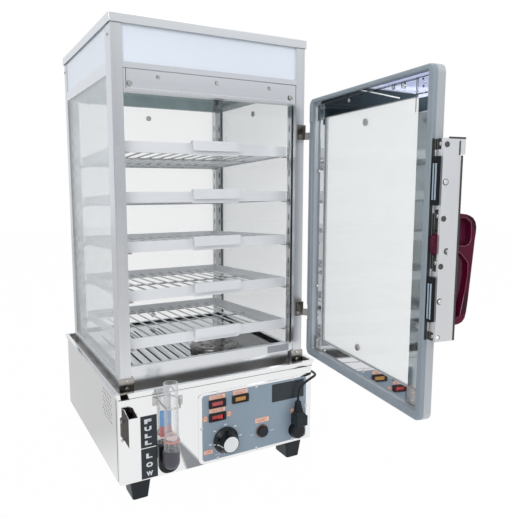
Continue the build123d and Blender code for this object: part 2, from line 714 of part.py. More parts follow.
# Door
def door_ring(y0, y1, width, radius):
    """A rounded rectangular ring over the door's whole outline."""
    cx, cz = (door_left + door_right) / 2, (door_bottom + door_top) / 2
    w, h = door_right - door_left, door_top - door_bottom
    ring = RectangleRounded(w, h, radius) - RectangleRounded(w - 2 * width, h - 2 * width,
                                                             max(radius - width, 1.5))
    return outline("y", Pos(cx, cz) * ring, y0, y1)


def door_gasket():
    """The grey rubber seal round the inner face, with shallow pockets over the fixed hinge leaves."""
    seal = door_ring(door_face - gasket_height, door_face, gasket_width, 13)
    seal = fillet(seal.edges().group_by(Axis.Y)[-1], 2.6)
    for z in hinge_heights:
        seal -= slab(160.5, door_right + 1, door_face - 1.9, door_face + 1, z - 14.5, z + 14.5)
    return seal


def door_frame():
    """The extruded frame: an outer band with a rebate that holds the glass from outside."""
    back = door_face - gasket_height
    front = back - frame_depth
    cx, cz = (door_left + door_right) / 2, (door_bottom + door_top) / 2
    w, h = door_right - door_left, door_top - door_bottom
    frame = outline("y", Pos(cx, cz) * RectangleRounded(w, h, 12), front, back)
    frame -= outline("y", Pos(cx, cz) * RectangleRounded(w - 24, h - 24, 2), back - 8.9, back + 1)
    mw, mh = w - 2 * glass_margin_side, h - 2 * glass_margin_end
    return frame - outline("y", Pos(cx, cz) * RectangleRounded(mw, mh, 3), front - 1, back + 1)


def door_glass():
    y = door_face - gasket_height - 8.9
    cx, cz = (door_left + door_right) / 2, (door_bottom + door_top) / 2
    pane = RectangleRounded(door_right - door_left - 24, door_top - door_bottom - 24, 2)
    return outline("y", Pos(cx, cz) * pane, y, y + glass_thickness)


def door_band():
    """The polished band that frames the glass inside the gasket."""
    back = door_face - gasket_height - 8.9 + glass_thickness
    cx, cz = (door_left + door_right) / 2, (door_bottom + door_top) / 2
    w, h = door_right - door_left - 24, door_top - door_bottom - 24
    mw, mh = w + 24 - 2 * glass_margin_side, h + 24 - 2 * glass_margin_end
    band = RectangleRounded(w, h, 2) - RectangleRounded(mw, mh, 3)
    return outline("y", Pos(cx, cz) * band, back, back + 1.2)


def door_fittings():
    """The corner plates and screws on the polished band, and the pads on the glass."""
    y = door_face - gasket_height - 8.9 + glass_thickness
    solids = []
    for x in (-134.6, 148.0):
        for z in (620.0, 201.0):
            solids.append(slab(x - 12, x + 12, y + 1.2, y + 2.2, z - 13, z + 13))
            solids += [screw(x, y + 2.2, z + dz, "+y", 2.0, 0.8, 0) for dz in (-6, 6)]
    spots = ((-90, 628), (53.6, 628), (155, 517.8), (155, 308.6), (122.7, 194), (-139.5, 303.4))
    solids += [screw(x, y + 1.2, z, "+y", 3.4, 1.5, 0) for x, z in spots]
    solids += [rod("y", (x, z), 5.5, y, y + 3) for x, z in ((4.4, 589), (10, 232))]
    return solids


def fixed_hinge_leaves():
    """The post half of each hinge, cranked out to its knuckle, with the pin fast in it."""
    solids = []
    y = post_front
    for z in hinge_heights:
        plate = slab(162.5, 181, y - 1.5, y, z - 13.5, z + 13.5)
        arm = prism("z", [(178.2, y), (181, y), (hinge_x + 2.6, hinge_y + 3), (hinge_x + 1.0, hinge_y),
                          (hinge_x - 0.6, hinge_y + 2.2), (179.4, y - 1.5)], z - 13.5, z - 0.2)
        leaf = plate + arm + rod("z", (hinge_x, hinge_y), 4, z - 13.5, z - 0.2)
        leaf -= rod("z", (hinge_x, hinge_y), 1.8, z - 15, z + 1)
        pin = rod("z", (hinge_x, hinge_y), 1.8, z - 14.3, z + 14.3)
        pin += rod("z", (hinge_x, hinge_y), 3, z - 15.5, z - 13.5)
        solids += [leaf, pin]
    return solids


def door_hinge_leaves():
    """The door half of each hinge, screwed to the edge of the frame."""
    solids = []
    for z in hinge_heights:
        leaf = slab(door_right, door_right + 1.5, hinge_y - 1.2, hinge_y + 9.5, z - 13.5, z + 13.5)
        leaf += slab(door_right, hinge_x, hinge_y - 1.2, hinge_y + 0.4, z + 0.2, z + 13.5)
        leaf += rod("z", (hinge_x, hinge_y), 4, z + 0.2, z + 13.5)
        leaf -= rod("z", (hinge_x, hinge_y), 1.8 + running_gap, z - 1, z + 15)
        solids.append(leaf)
    return solids


# Latch
def latch_bar():
    """A hat-shaped steel housing along the free edge that carries the magnets and the handle."""
    x, t = latch_plate_x, 1.5
    z0, z1 = latch_z
    y0, y1 = latch_y
    frame_front = door_face - gasket_height - frame_depth
    bar = slab(x, x + t, y0, y1, z0, z1)
    bar += slab(x, door_left, y1 - t, y1, z0, z1)
    bar += slab(door_left - t, door_left, -206, y1, z0, z1)
    bar += slab(x, -142, y0, y0 + t, z0, z1)
    bar += slab(-142 - t, -142, y0, frame_front, z0, z1)
    bar += slab(-142 - t, -130, frame_front - t, frame_front, z0, z1)
    # The keeper tab at the top of the cover, parted from it by a slot
    bar += slab(x, x + t, y0 - 9, y0, z1 - 20, z1)
    bar -= slab(x - 1, x + t + 1, y0 - 1, y0, z1 - 21, z1 - 3)
    # The opening in the cover that the handle works in, and the windows on the post side
    bar -= slab(x + t, -142 - t, y0 - 1, y0 + 5, 372, 466)
    for a, b in latch_recess + magnet_spots:
        bar -= slab(-174.8, -166.2, y1 - t - 1, y1 + 1, a, b)
    for z, r in ((544.4, 3), (451.5, 3), (390, 3), (297.3, 3)):
        bar -= rod("x", (-201.6, z), r, x - 1, x + t + 1)
    bar -= rod("x", (pivot_y, pivot_z), pivot_radius, x - 1, x + t + 1)
    bar -= rod("x", (pivot_y, pivot_z), pivot_radius, -142 - t - 1, -141)
    pin = rod("x", (pivot_y, pivot_z), pivot_radius, x, -142)
    pin += rod("x", (pivot_y, pivot_z), 5.2, x - 1.6, x) + rod("x", (pivot_y, pivot_z), 5.2, -142, -140.4)
    heads = [screw(x, -202, z, "-x", 3.2, 1.4, 3.0) for z in (497.5, 344.4)]
    return [bar, pin] + heads


def latch_plates():
    """The dark plates seen through the windows of the housing, the middle one round the ejector."""
    y = latch_y[1] - 1.5
    solids = []
    for z0, z1 in latch_recess:
        plate = slab(-177.1, -165.5, y - 1.2, y, z0 - 3 if z0 > 300 else z0, min(z1 + 3, latch_z[1]))
        if z0 == latch_recess[0][0]:
            plate -= slab(-174.8, -166.9, y - 2, y + 1, 396, 437)
        solids.append(plate)
    for z in (545.0, 454.5, 394.0, 297.0):
        solids.append(screw(-170.5, y, z, "+y", 2.6, 1.0, 0))
    return solids


def latch_magnets():
    """Two black cases in the housing, each with a pair of steel pole plates facing the strike."""
    solids = []
    for z0, z1 in magnet_spots:
        case = slab(-174.6, -166.4, -206, magnet_face, z0 + 0.2, z1 - 0.2)
        solids.append(case)
        for x in (-172.6, -168.9):
            solids.append(slab(x - 0.8, x + 0.8, magnet_face, magnet_face + 0.5, z0 + 7, z1 - 7))
    return solids


def latch_handle():
    """The moulded handle with its hooked grip, its pivot boss and the ejector that it works."""
    x0, x1 = -176.6, -144.0
    side = [(-222.6, 311), (-230, 310.7), (-235.5, 311.3), (-241.4, 313.7), (-245.6, 318.8),
            (-247.6, 327), (-249.5, 342.9), (-252.4, 374.9), (-254.5, 406.7), (-255.9, 422.5),
            (-257.1, 432), (-257.3, 440), (-255.5, 446.5), (-251.5, 451.5), (-245.5, 454.7),
            (-240, 456.4), (-230.7, 457.5), (-222.6, 458)]
    grip = prism("x", side, x0, x1)
    # The hollowed sides: a small pocket for the thumb and a long one for the fingers
    thumb = [(-227, 452), (-240, 451.6), (-247.7, 446.2), (-248.9, 441), (-249.3, 422.7),
             (-246.3, 417.6), (-239.9, 415.2), (-227, 416.8)]
    fingers = [(-227, 410), (-235.3, 404), (-242.7, 396.7), (-246.3, 392.5), (-246.5, 376.6),
               (-243.6, 356.7), (-239.9, 336.9), (-236.7, 322.3), (-227, 316.5)]
    for a, b in ((x0 - 1, x0 + 11), (x1 - 11, x1 + 1)):
        grip -= prism("x", thumb, a, b) + prism("x", fingers, a, b)
    boss = slab(x0, x1, -223, -209.2, pivot_z - 8, pivot_z + 8)
    boss = fillet(boss.edges().filter_by(Axis.X).group_by(Axis.Y)[-1], 3.5)
    cam = prism("x", [(-210, 403.5), (-196, 404.5), (-192.4, 408), (-190.8, 413), (-190.8, 424),
                      (-192.6, 429), (-196.5, 432), (-202, 430), (-210, 420)], -174.3, -167.4)
    handle = grip + boss + cam
    return handle - rod("x", (pivot_y, pivot_z), pivot_radius + running_gap, x0 - 1, x1 + 1)


# The cabinet lamp's cord
def cord_route():
    x, y, z = socket_x - 0.5, front_y - 11.0, socket_z + 59.5
    return [(x, y, z), (x, y, z + 17), (159, -222, 116.5), (178, -222.5, 126), (194.5, -217, 128),
            (201.5, -199, 127.5), (203, -160, 125), (203, -92, 119), (203.5, -22, 115.5),
            (202.5, 52, 117.5), (203.5, 122, 120), (203, 176, 124), (203, 204, 130), (194, 223, 143),
            (184, 228, 168), (181, 226, 205), (179.5, 217, 262), (178, 206, 330), (176.5, 198.5, 400),
            (176, 195, 470), (174.5, 193, 540), (171.5, 191, 610), (168, 190, 660), (168, 190, 702)]


def lamp_cord():
    pts = [Vector(*p) for p in cord_route()]
    radii = []
    for a, b, c in zip(pts, pts[1:], pts[2:]):
        turn = (b - a).get_angle(c - b)
        run = min((b - a).length, (c - b).length)
        radii.append(0.45 * run / math.tan(math.radians(turn) / 2))
    print("cord radii", [round(r) for r in radii])
    path = FilletPolyline(*pts, radius=radii)
    cord = sweep(Plane(origin=path @ 0, z_dir=path % 0) * Circle(cord_radius), path=path)
    print("cord length", round(path.length), "volume ratio",
          round(cord.volume / (path.length * math.pi * cord_radius ** 2), 4))
    return cord


def cord_gland():
    """The downward elbow on the back of the header where the lamp's cord goes in."""
    y = post_back
    elbow = slab(160.5, 175.5, y, y + 17, 706, 720)
    elbow = fillet(elbow.edges().group_by(Axis.Y)[-1], 3)
    elbow += rod("z", (168, 190), 5.6, 702, 708)
    return elbow + rod("y", (168, 712), 4.5, y - 6, y)


nodes = {}
os.makedirs("parts", exist_ok=True)
save("base_shell", drilled(base_shell()))
save("deck_pan", drilled(deck_pan()))
save("water_tank", water_tank())
save("heating_element", heating_element())
save("bottom_plate", bottom_plate())
save("feet", feet())
save("supply_gland", supply_gland())
save("control_plate", drilled(control_plate()))
save("control_label", control_label())
save("cabinet_screws", screws(screw_spots()))
save("panel_bezels", [lamp_bezel(lamp_red), lamp_bezel(lamp_amber), switch_bezel(), reset_collar()])
save("lens_red", lens(lamp_red, 3.6))
save("lens_amber", lens(lamp_amber, 3.6))
save("rocker", rocker())
save("thermostat", thermostat())
save("knob", [thermostat_knob(), knob_shaft()])
save("knob_face", knob_face())
save("reset_button", reset_button())
save("lamp_socket", lamp_socket())
save("lamp_plug", lamp_plug())
save("lamp_cord", lamp_cord())
save("cord_gland", cord_gland())
save("fill_hopper", drilled(fill_hopper()))
save("level_label", level_plate())
save("gauge_scale", gauge_scale())
save("gauge_tube", [gauge_tube(), gauge_coupling()])
save("gauge_ring", gauge_ring())
save("gauge_float", gauge_float())
save("gauge_boot", gauge_boot())
clamp_wire, clamp_tabs = gauge_clamp()
save("gauge_clamp", [clamp_wire] + clamp_tabs)
save("corner_posts", drilled(corner_posts()))
save("roof_cap", drilled(roof_cap()))
save("header_panels", header_panels())
save("cabinet_rails", drilled(cabinet_rails()))
save("ceiling_plate", ceiling_plate())
save("header_lamp", header_lamp())
save("glass_panes", glass_panes())
save("glass_bumpers", glass_bumpers())
save("uprights", uprights())
save("shelf_clips", shelf_clips())
save("steam_floor", steam_floor())
save("steam_diffuser", steam_diffuser())
save("corner_brackets", drilled(corner_brackets()))
save("strike_strip", strike_strip())
for index in range(shelf_count):
    save(f"shelf_{index + 1}", shelf(index))
save("hinge_leaves", drilled(fixed_hinge_leaves()))
for name, shapes in (("door_hinge_leaves", door_hinge_leaves()), ("door_frame", door_frame()),
                     ("door_band", door_band()), ("door_glass", door_glass()),
                     ("door_gasket", door_gasket()), ("door_fittings", door_fittings()),
                     ("latch_bar", latch_bar()), ("latch_plates", latch_plates()),
                     ("latch_magnets", latch_magnets()), ("latch_handle", latch_handle())):
    shapes = shapes if isinstance(shapes, list) else [shapes]
    save(name, [swing(shape) for shape in shapes])
print(len(nodes), "nodes")
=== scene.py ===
# %% [markdown]
# Countertop food steamer display case
# A polished steel boiler base carries a glazed cabinet with five pull-out wire shelves, a lit
# header and a glass door with a lever latch. The construction comes from the imported frame. This
# file gives every surface its finish and adds the cord, the printing, the small marks of seams
# and screws, painted shade, highlights and reflections, and the moulded handle.

# %% Load the frame
import bpy
import bmesh
from math import cos, radians, sin
from mathutils import Matrix, Vector


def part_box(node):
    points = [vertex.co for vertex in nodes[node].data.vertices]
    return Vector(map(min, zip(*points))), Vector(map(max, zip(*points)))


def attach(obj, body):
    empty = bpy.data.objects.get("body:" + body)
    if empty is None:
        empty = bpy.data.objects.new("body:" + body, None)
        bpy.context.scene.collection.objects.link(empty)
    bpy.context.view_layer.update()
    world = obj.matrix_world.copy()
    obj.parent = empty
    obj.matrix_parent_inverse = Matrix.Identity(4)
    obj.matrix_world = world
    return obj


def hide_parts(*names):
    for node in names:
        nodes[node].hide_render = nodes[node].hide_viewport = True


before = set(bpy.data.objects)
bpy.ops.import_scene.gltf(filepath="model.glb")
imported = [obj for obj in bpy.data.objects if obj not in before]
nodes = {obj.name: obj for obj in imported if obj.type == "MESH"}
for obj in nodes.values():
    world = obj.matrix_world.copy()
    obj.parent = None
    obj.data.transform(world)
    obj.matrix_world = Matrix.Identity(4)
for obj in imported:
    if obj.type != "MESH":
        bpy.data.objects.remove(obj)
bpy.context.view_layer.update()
mm = 0.001
foot_height = 35.0
bpy.ops.object.select_all(action="DESELECT")

# %% [markdown]
# The camera comes first. Its place was worked out from the straight edges of the photograph:
# where the level edges of the case meet on the horizon, and how fast the posts draw together.
# The sensor is fitted across the width, so the lens follows from the image's 515 pixels.

# %% Camera
image_width = 515
focal_pixels = 556.7
camera_at = Vector((-0.41204, -1.07039, 0.52847))
look_along = Vector((0.48317, 0.86565, -0.13117)).normalized()
look_up = Vector((0.06191, 0.11566, 0.99136))

lens = bpy.data.cameras.new("studio_camera")
lens.sensor_fit = "HORIZONTAL"
lens.sensor_width = 36.0
lens.lens = lens.sensor_width * focal_pixels / image_width
lens.clip_start = 0.01
camera = bpy.data.objects.new("studio_camera", lens)
bpy.context.collection.objects.link(camera)
look_right = look_along.cross(look_up).normalized()
look_up = look_right.cross(look_along)
turn = Matrix((look_right, look_up, -look_along)).transposed()
camera.matrix_world = Matrix.Translation(camera_at) @ turn.to_4x4()
bpy.context.scene.camera = camera
print("lens", round(lens.lens, 2), "mm")

# %% [markdown]
# Small tools used all through. One adds a shader node and feeds its inputs, and one runs a value
# through a colour ramp. With these a finish is a material whose colour and roughness drift a little
# over the surface. It can be made a thin clear veil, or be changed between planes of the piece's
# own coordinates, which gives one piece two looks without cutting it.

# %% Shader nodes
right, back, up = (1, 0, 0), (0, 1, 0), (0, 0, 1)


def add_node(tree, kind, inputs=None, **settings):
    """Add a shader node, feed its inputs from outputs or plain values, and return its outputs."""
    made = tree.nodes.new("ShaderNode" + kind)
    for name, value in settings.items():
        setattr(made, name, value)
    for socket, value in (inputs or {}).items():
        if isinstance(value, bpy.types.NodeSocket):
            tree.links.new(value, made.inputs[socket])
        else:
            made.inputs[socket].default_value = value
    return made.outputs


def add_ramp(tree, value, stops, blend="LINEAR"):
    """Run a value through a colour ramp, given as places with their colours."""
    color = add_node(tree, "ValToRGB", {"Fac": value})["Color"]
    ramp = color.node.color_ramp
    ramp.interpolation = blend
    ramp.elements.remove(ramp.elements[1])
    for number, (position, shade) in enumerate(stops):
        stop = ramp.elements.new(position) if number else ramp.elements[0]
        stop.position = position
        stop.color = (*shade, 1)
    return color


# %% Finishes
def finish(name, color, rough, metal=0.0, drift=0.04, rough_drift=0.06, size=9.0, grain=(1, 1, 1),
           bump=0.0, bump_size=300.0, coat=0.0, specular=0.5):
    """A shader whose colour and roughness wander by a small share, with an optional fine bump."""
    mat = bpy.data.materials.new(name)
    mat.use_nodes = True
    tree = mat.node_tree
    shader = tree.nodes["Principled BSDF"].inputs
    shader["Metallic"].default_value = metal
    shader["Coat Weight"].default_value = coat
    shader["Specular IOR Level"].default_value = specular
    place = add_node(tree, "TexCoord")["Object"]
    stretch = add_node(tree, "Mapping", {"Vector": place, "Scale": grain})["Vector"]
    noise = add_node(tree, "TexNoise", {"Vector": stretch, "Scale": size, "Detail": 4.0})["Fac"]
    shades = add_ramp(tree, noise, ((0.3, [max(0.0, c * (1 - drift)) for c in color]),
                                    (0.7, [min(1.0, c * (1 + drift)) for c in color])))
    tree.links.new(shades, shader["Base Color"])
    gloss = add_node(tree, "MapRange", {"Value": noise,
                                        "To Min": max(0.0, rough * (1 - rough_drift)),
                                        "To Max": min(1.0, rough * (1 + rough_drift))})
    tree.links.new(gloss["Result"], shader["Roughness"])
    if bump:
        fine = add_node(tree, "TexNoise", {"Vector": stretch, "Scale": bump_size, "Detail": 2.0})
        lift = add_node(tree, "Bump", {"Height": fine["Fac"], "Strength": bump,
                                       "Distance": 0.4 * mm})
        tree.links.new(lift["Normal"], shader["Normal"])
    return mat


def clear_finish(name, color, facing, grazing, rough=0.03):
    """Thin clear sheet: a veil that thickens where the surface is seen at a slant."""
    mat = finish(name, color, rough, drift=0.02)
    tree = mat.node_tree
    slant = add_node(tree, "LayerWeight", {"Blend": 0.35})["Facing"]
    veil = add_node(tree, "MapRange", {"Value": slant, "To Min": facing, "To Max": grazing})
    tree.links.new(veil["Result"], tree.nodes["Principled BSDF"].inputs["Alpha"])
    return mat


def second_finish(mat, limits, color, metal, rough, soft=0.02):
    """Change a finish where a piece lies between planes: (direction, 1 past or -1 before, mm)."""
    tree = mat.node_tree
    shader = tree.nodes["Principled BSDF"].inputs
    place = add_node(tree, "TexCoord")["Object"]
    mask = None
    for direction, side, value in limits:
        along = add_node(tree, "VectorMath", {0: place, 1: direction}, operation="DOT_PRODUCT")
        step = add_node(tree, "MapRange", {"Value": along["Value"],
                                           "From Min": (value - side * soft) * mm,
                                           "From Max": (value + side * soft) * mm})["Result"]
        if mask is not None:
            step = add_node(tree, "Math", {0: mask, 1: step}, operation="MULTIPLY")["Value"]
        mask = step
    cloud = add_node(tree, "TexNoise", {"Vector": place, "Scale": 30.0})["Fac"]
    shades = add_ramp(tree, cloud, ((0.0, [c * 0.85 for c in color]),
                                    (1.0, [min(1.0, c * 1.15) for c in color])))
    for socket, kind, value in (("Base Color", "RGBA", shades), ("Metallic", "FLOAT", metal),
                                ("Roughness", "FLOAT", rough)):
        first = shader[socket].default_value
        if shader[socket].is_linked:
            first = shader[socket].links[0].from_socket
        mixed = add_node(tree, "Mix", {"Factor": mask, "A": first, "B": value}, data_type=kind)
        tree.links.new(mixed["Result"], shader[socket])


def above(height):
    """A limit for second_finish: all that is over a height above the body's underside."""
    return up, 1, height + foot_height


def below(height):
    """A limit for second_finish: all that is under a height above the body's underside."""
    return up, -1, height + foot_height


def dress(mat, *names):
    """Give CAD nodes a finish."""
    for name in names:
        piece = nodes[name]
        piece.data.materials.clear()
        piece.data.materials.append(mat)


# %% [markdown]
# The steel is of several kinds. The base is polished sheet that mirrors the white table, with the
# slow waves that thin sheet has. The rails are rolled stainless, the posts and the cap are
# brushed, so their gloss is drawn out along the sheet, and the band in the door is a mirror.

# %% Steel finishes
base_steel = finish("base_steel", (0.84, 0.845, 0.85), 0.09, metal=1.0, drift=0.02, size=4.0,
                    rough_drift=0.5, bump=0.10, bump_size=16.0)
rail_steel = finish("rail_steel", (0.76, 0.775, 0.80), 0.24, metal=1.0, drift=0.03, size=40.0,
                    grain=(0.05, 1, 1), bump=0.05, bump_size=400.0)
inner_steel = finish("inner_steel", (0.66, 0.67, 0.67), 0.12, metal=1.0, drift=0.06, size=9.0,
                     rough_drift=0.4)
floor_steel = finish("floor_steel", (0.66, 0.67, 0.67), 0.12, metal=1.0, drift=0.08, size=9.0,
                     grain=(0.4, 1, 1), rough_drift=0.4)
# Painted dark reflection: the steam floor turns dark towards the front right.
front_right = (0.8, -0.6, 0)
second_finish(floor_steel, ((front_right, 1, 95.0), (right, 1, 60.0)), (0.16, 0.16, 0.155), 1.0,
              0.12, soft=4.0)
post_steel = finish("post_steel", (0.74, 0.755, 0.78), 0.30, metal=1.0, drift=0.04, size=90.0,
                    grain=(1, 1, 0.03), bump=0.10, bump_size=500.0)
cap_steel = finish("cap_steel", (0.80, 0.815, 0.83), 0.30, metal=1.0, drift=0.03, size=60.0,
                   grain=(0.05, 1, 1), bump=0.08, bump_size=500.0)
latch_steel = finish("latch_steel", (0.84, 0.845, 0.86), 0.30, metal=0.75, drift=0.03, size=30.0,
                     grain=(1, 1, 0.1), bump=0.05, bump_size=500.0)
mirror_steel = finish("mirror_steel", (0.80, 0.81, 0.83), 0.035, metal=1.0, drift=0.02, size=3.0,
                      bump=0.12, bump_size=9.0)
plated = finish("plated", (0.55, 0.54, 0.53), 0.18, metal=1.0, drift=0.25, size=120.0)
# The gutter steel, which the corner brackets share, is dark and streaked along its length: a
# painted dark reflection.
gutter_steel = finish("gutter_steel", (0.40, 0.385, 0.36), 0.20, metal=1.0, drift=0.42, size=30.0,
                      grain=(0.12, 1, 1), rough_drift=0.4, bump=0.15, bump_size=60.0)
hinge_steel = finish("hinge_steel", (0.30, 0.285, 0.27), 0.25, metal=1.0, drift=0.25, size=60.0)
diffuser_steel = finish("diffuser_steel", (0.20, 0.19, 0.175), 0.12, metal=1.0, drift=0.5,
                        size=40.0, grain=(1, 1, 0.4), rough_drift=0.4, bump=0.12, bump_size=50.0)
dull_steel = finish("dull_steel", (0.60, 0.62, 0.65), 0.42, metal=1.0, drift=0.08, size=30.0)
dark_plate = finish("dark_plate", (0.048, 0.045, 0.043), 0.55, metal=0.0, drift=0.2, size=30.0,
                    specular=0.14)
satin_alloy = finish("satin_alloy", (0.52, 0.545, 0.575), 0.38, metal=0.55, size=12.0,
                     grain=(1, 1, 0.1), bump=0.05)

# %% [markdown]
# Polished steel shows what stands round it, and some of that isn't in this scene, so it is laid on
# as painted reflection: a grey arc across the front of the base, and pale inner faces on the rail
# under the header, seen through the panes. Planes of the piece's own coordinates mark these places
# for a second finish.

# %% What the front and the rails mirror
front_steel = base_steel.copy()
front_steel.name = "front_steel"
# Painted reflection: a grey arc low on the front of the base, to the lower left of the panel.
arc_left, arc_right = (0.780, 0, 0.6256), (0.9464, 0, 0.3233)
second_finish(front_steel, ((back, -1, -205), (arc_left, -1, arc_left[2] * foot_height - 31.25),
                            (arc_right, 1, arc_right[2] * foot_height - 68.87), below(57)),
              (0.26, 0.275, 0.29), 1.0, 0.12, soft=2.5)
# Painted reflections: pale inner faces on the back and right of the header rail, paler still at the
# top.
inside_back = ((back, 1, 170.6), (back, -1, 171.4), above(640))
inside_right = ((right, 1, 176.4), (right, -1, 177.2), above(640))
second_finish(rail_steel, inside_back, (0.50, 0.60, 0.61), 0.0, 0.35)
second_finish(rail_steel, (*inside_back, above(688)), (0.88, 0.98, 0.97), 0.0, 0.35, soft=2.0)
second_finish(rail_steel, inside_right, (0.88, 0.97, 0.95), 0.0, 0.35)

# %% Steel pieces
for mat, *names in (
        (front_steel, "base_shell"), (base_steel, "fill_hopper", "control_plate"),
        (rail_steel, "cabinet_rails", "strike_strip"), (inner_steel, "uprights"),
        (floor_steel, "steam_floor"), (diffuser_steel, "steam_diffuser"),
        (latch_steel, "latch_bar"), (post_steel, "corner_posts"), (cap_steel, "roof_cap"),
        (mirror_steel, "door_band"), (gutter_steel, "deck_pan", "corner_brackets"),
        (plated, "cabinet_screws", "gauge_clamp", "shelf_clips"),
        (hinge_steel, "hinge_leaves", "door_hinge_leaves"),
        (dull_steel, "water_tank", "bottom_plate", "heating_element"),
        (dark_plate, "latch_plates"), (satin_alloy, "door_frame")):
    dress(mat, *names)
print(len(bpy.data.materials), "finishes with the steel")

# %% [markdown]
# A shelf is one piece of the frame but has two looks: the folded frame and its pull are satin
# white metal, and the rods inside are bright wire. The rods lie inside the frame's walls, so the
# piece's own coordinates can tell the two apart, and the finish is mixed by that mask.

# %% Shelf finish
shelf_steel = finish("shelf_steel", (0.86, 0.875, 0.895), 0.32, metal=0.3, drift=0.02, size=8.0)
second_finish(shelf_steel, ((right, 1, -151.5), (right, -1, 151.5),
                            (back, 1, -163.5), (back, -1, 154.0)),
              (0.60, 0.61, 0.61), 1.0, 0.16)
dress(shelf_steel, *[f"shelf_{number}" for number in range(1, 6)])

# %% [markdown]
# Rubber and plastics. The door seal is a grey extrusion with a slight sheen, the feet and the
# plug are black mouldings with a fine texture, and the handle is a glossy dark red moulding.

# %% Rubber and plastic finishes
seal_rubber = finish("seal_rubber", (0.27, 0.315, 0.355), 0.40, drift=0.06, size=14.0, bump=0.05)
black_rubber = finish("black_rubber", (0.017, 0.022, 0.027), 0.42, drift=0.15, size=20.0, bump=0.2,
                      specular=0.22)
black_plastic = finish("black_plastic", (0.008, 0.010, 0.013), 0.26, drift=0.15, size=20.0,
                       bump=0.1, specular=0.28)
boot_rubber = finish("boot_rubber", (0.065, 0.062, 0.082), 0.38, drift=0.2, size=30.0, bump=0.15)
# Of the maroons below, the darkest is painted shade on the handle's flat sides, and the lightest,
# glossiest one is partly a painted highlight on the lips of its pockets.
maroon = finish("maroon", (0.088, 0.003, 0.022), 0.20, drift=0.15, size=10.0, bump=0.05,
                specular=0.22)
maroon_shade = finish("maroon_shade", (0.032, 0.0012, 0.009), 0.25, drift=0.2, size=20.0,
                      specular=0.25)
maroon_floor = finish("maroon_floor", (0.11, 0.010, 0.040), 0.28, drift=0.25, size=60.0,
                      grain=(0.3, 0.3, 1), bump=0.9, bump_size=90.0, specular=0.55)
maroon_lip_highlight = finish("maroon_lip_highlight", (0.16, 0.014, 0.055), 0.12, drift=0.12, size=10.0, specular=0.9,
                    coat=0.6)
knob_white = finish("knob_white", (0.80, 0.81, 0.82), 0.3, drift=0.02, size=20.0)
lamp_opal = finish("lamp_opal", (0.90, 0.92, 0.95), 0.3, drift=0.01)
panel_print = finish("panel_print", (0.265, 0.335, 0.405), 0.36, drift=0.03, size=4.0, bump=0.03)
black_print = finish("black_print", (0.032, 0.040, 0.048), 0.3, drift=0.1, size=30.0,
                     specular=0.25)
red_ring = finish("red_ring", (0.62, 0.30, 0.27), 0.25, drift=0.12, size=30.0)
float_red = finish("float_red", (0.80, 0.62, 0.58), 0.25, drift=0.12, size=30.0)
red_lens = finish("red_lens", (0.42, 0.045, 0.055), 0.18, drift=0.15, size=60.0, coat=0.5)
amber_lens = finish("amber_lens", (0.56, 0.25, 0.035), 0.18, drift=0.15, size=60.0, coat=0.5)
rocker_red = finish("rocker_red", (0.50, 0.004, 0.010), 0.2, drift=0.2, size=60.0, coat=0.5)
magnet_case = finish("magnet_case", (0.006, 0.009, 0.013), 0.45, drift=0.15, size=20.0, bump=0.1,
                     specular=0.2)

# %% Rubber and plastic pieces
for mat, *names in (
        (seal_rubber, "door_gasket"), (boot_rubber, "gauge_boot"), (maroon, "latch_handle"),
        (black_rubber, "feet", "lamp_plug", "reset_button", "lamp_cord"),
        (black_plastic, "panel_bezels", "thermostat", "knob", "lamp_socket", "cord_gland",
         "supply_gland"),
        (knob_white, "knob_face"), (lamp_opal, "header_lamp"), (panel_print, "control_label"),
        (black_print, "level_label"), (red_ring, "gauge_ring"), (float_red, "gauge_float"),
        (red_lens, "lens_red"), (amber_lens, "lens_amber"), (rocker_red, "rocker"),
        (magnet_case, "latch_magnets")):
    dress(mat, *names)
print(len(bpy.data.materials), "finishes with the rubber and plastics")

# %% [markdown]
# The panes are plain float glass. A physically exact glass would leave dark shadows inside the
# cabinet, so each sheet is a pale veil whose strength follows the angle it is seen at, the way
# the two faces of real glass catch the white room. The header panels are frosted acrylic.

# %% Clear and frosted finishes
pane_glass = clear_finish("pane_glass", (0.78, 0.82, 0.83), 0.10, 0.62)
door_pane = clear_finish("door_pane", (0.76, 0.80, 0.81), 0.16, 0.55)
clear_plastic = clear_finish("clear_plastic", (0.80, 0.82, 0.84), 0.05, 0.70)
bumper_clear = clear_finish("bumper_clear", (0.30, 0.34, 0.34), 0.55, 0.90, rough=0.15)
frosted_acrylic = finish("frosted_acrylic", (0.78, 0.84, 0.92), 0.22, drift=0.015, size=3.0,
                         coat=0.3)
frosted_glass = finish("frosted_glass", (0.92, 0.98, 0.97), 0.4, drift=0.02, size=6.0)
second_finish(frosted_glass, ((back, 1, 90.0),), (0.58, 0.70, 0.72), 0.0, 0.4, soft=80.0)

for mat, name in ((pane_glass, "glass_panes"), (door_pane, "door_glass"),
                  (clear_plastic, "gauge_tube"), (bumper_clear, "glass_bumpers"),
                  (frosted_acrylic, "header_panels"), (frosted_glass, "ceiling_plate")):
    dress(mat, name)
print(len(bpy.data.materials), "finishes with the clear ones")

# %% [markdown]
# The card behind the gauge tube is printed in two bands, blue for enough water and red for too
# little. A ramp on the height does it, so that the card needs no picture.

# %% Level card
card_low, card_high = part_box("gauge_scale")
card = finish("level_card", (0.5, 0.5, 0.5), 0.4)
tree = card.node_tree
height = add_node(tree, "SeparateXYZ", {"Vector": add_node(tree, "TexCoord")["Object"]})["Z"]
level = add_node(tree, "MapRange", {"Value": height, "From Min": card_low.z,
                                    "From Max": card_high.z})
bands = add_ramp(tree, level["Result"], ((0.0, (0.62, 0.20, 0.20)), (0.40, (0.17, 0.38, 0.68))),
                 blend="CONSTANT")
tree.links.new(bands, tree.nodes["Principled BSDF"].inputs["Base Color"])
dress(card, "gauge_scale")
print("card from", card_low.z, "to", card_high.z)

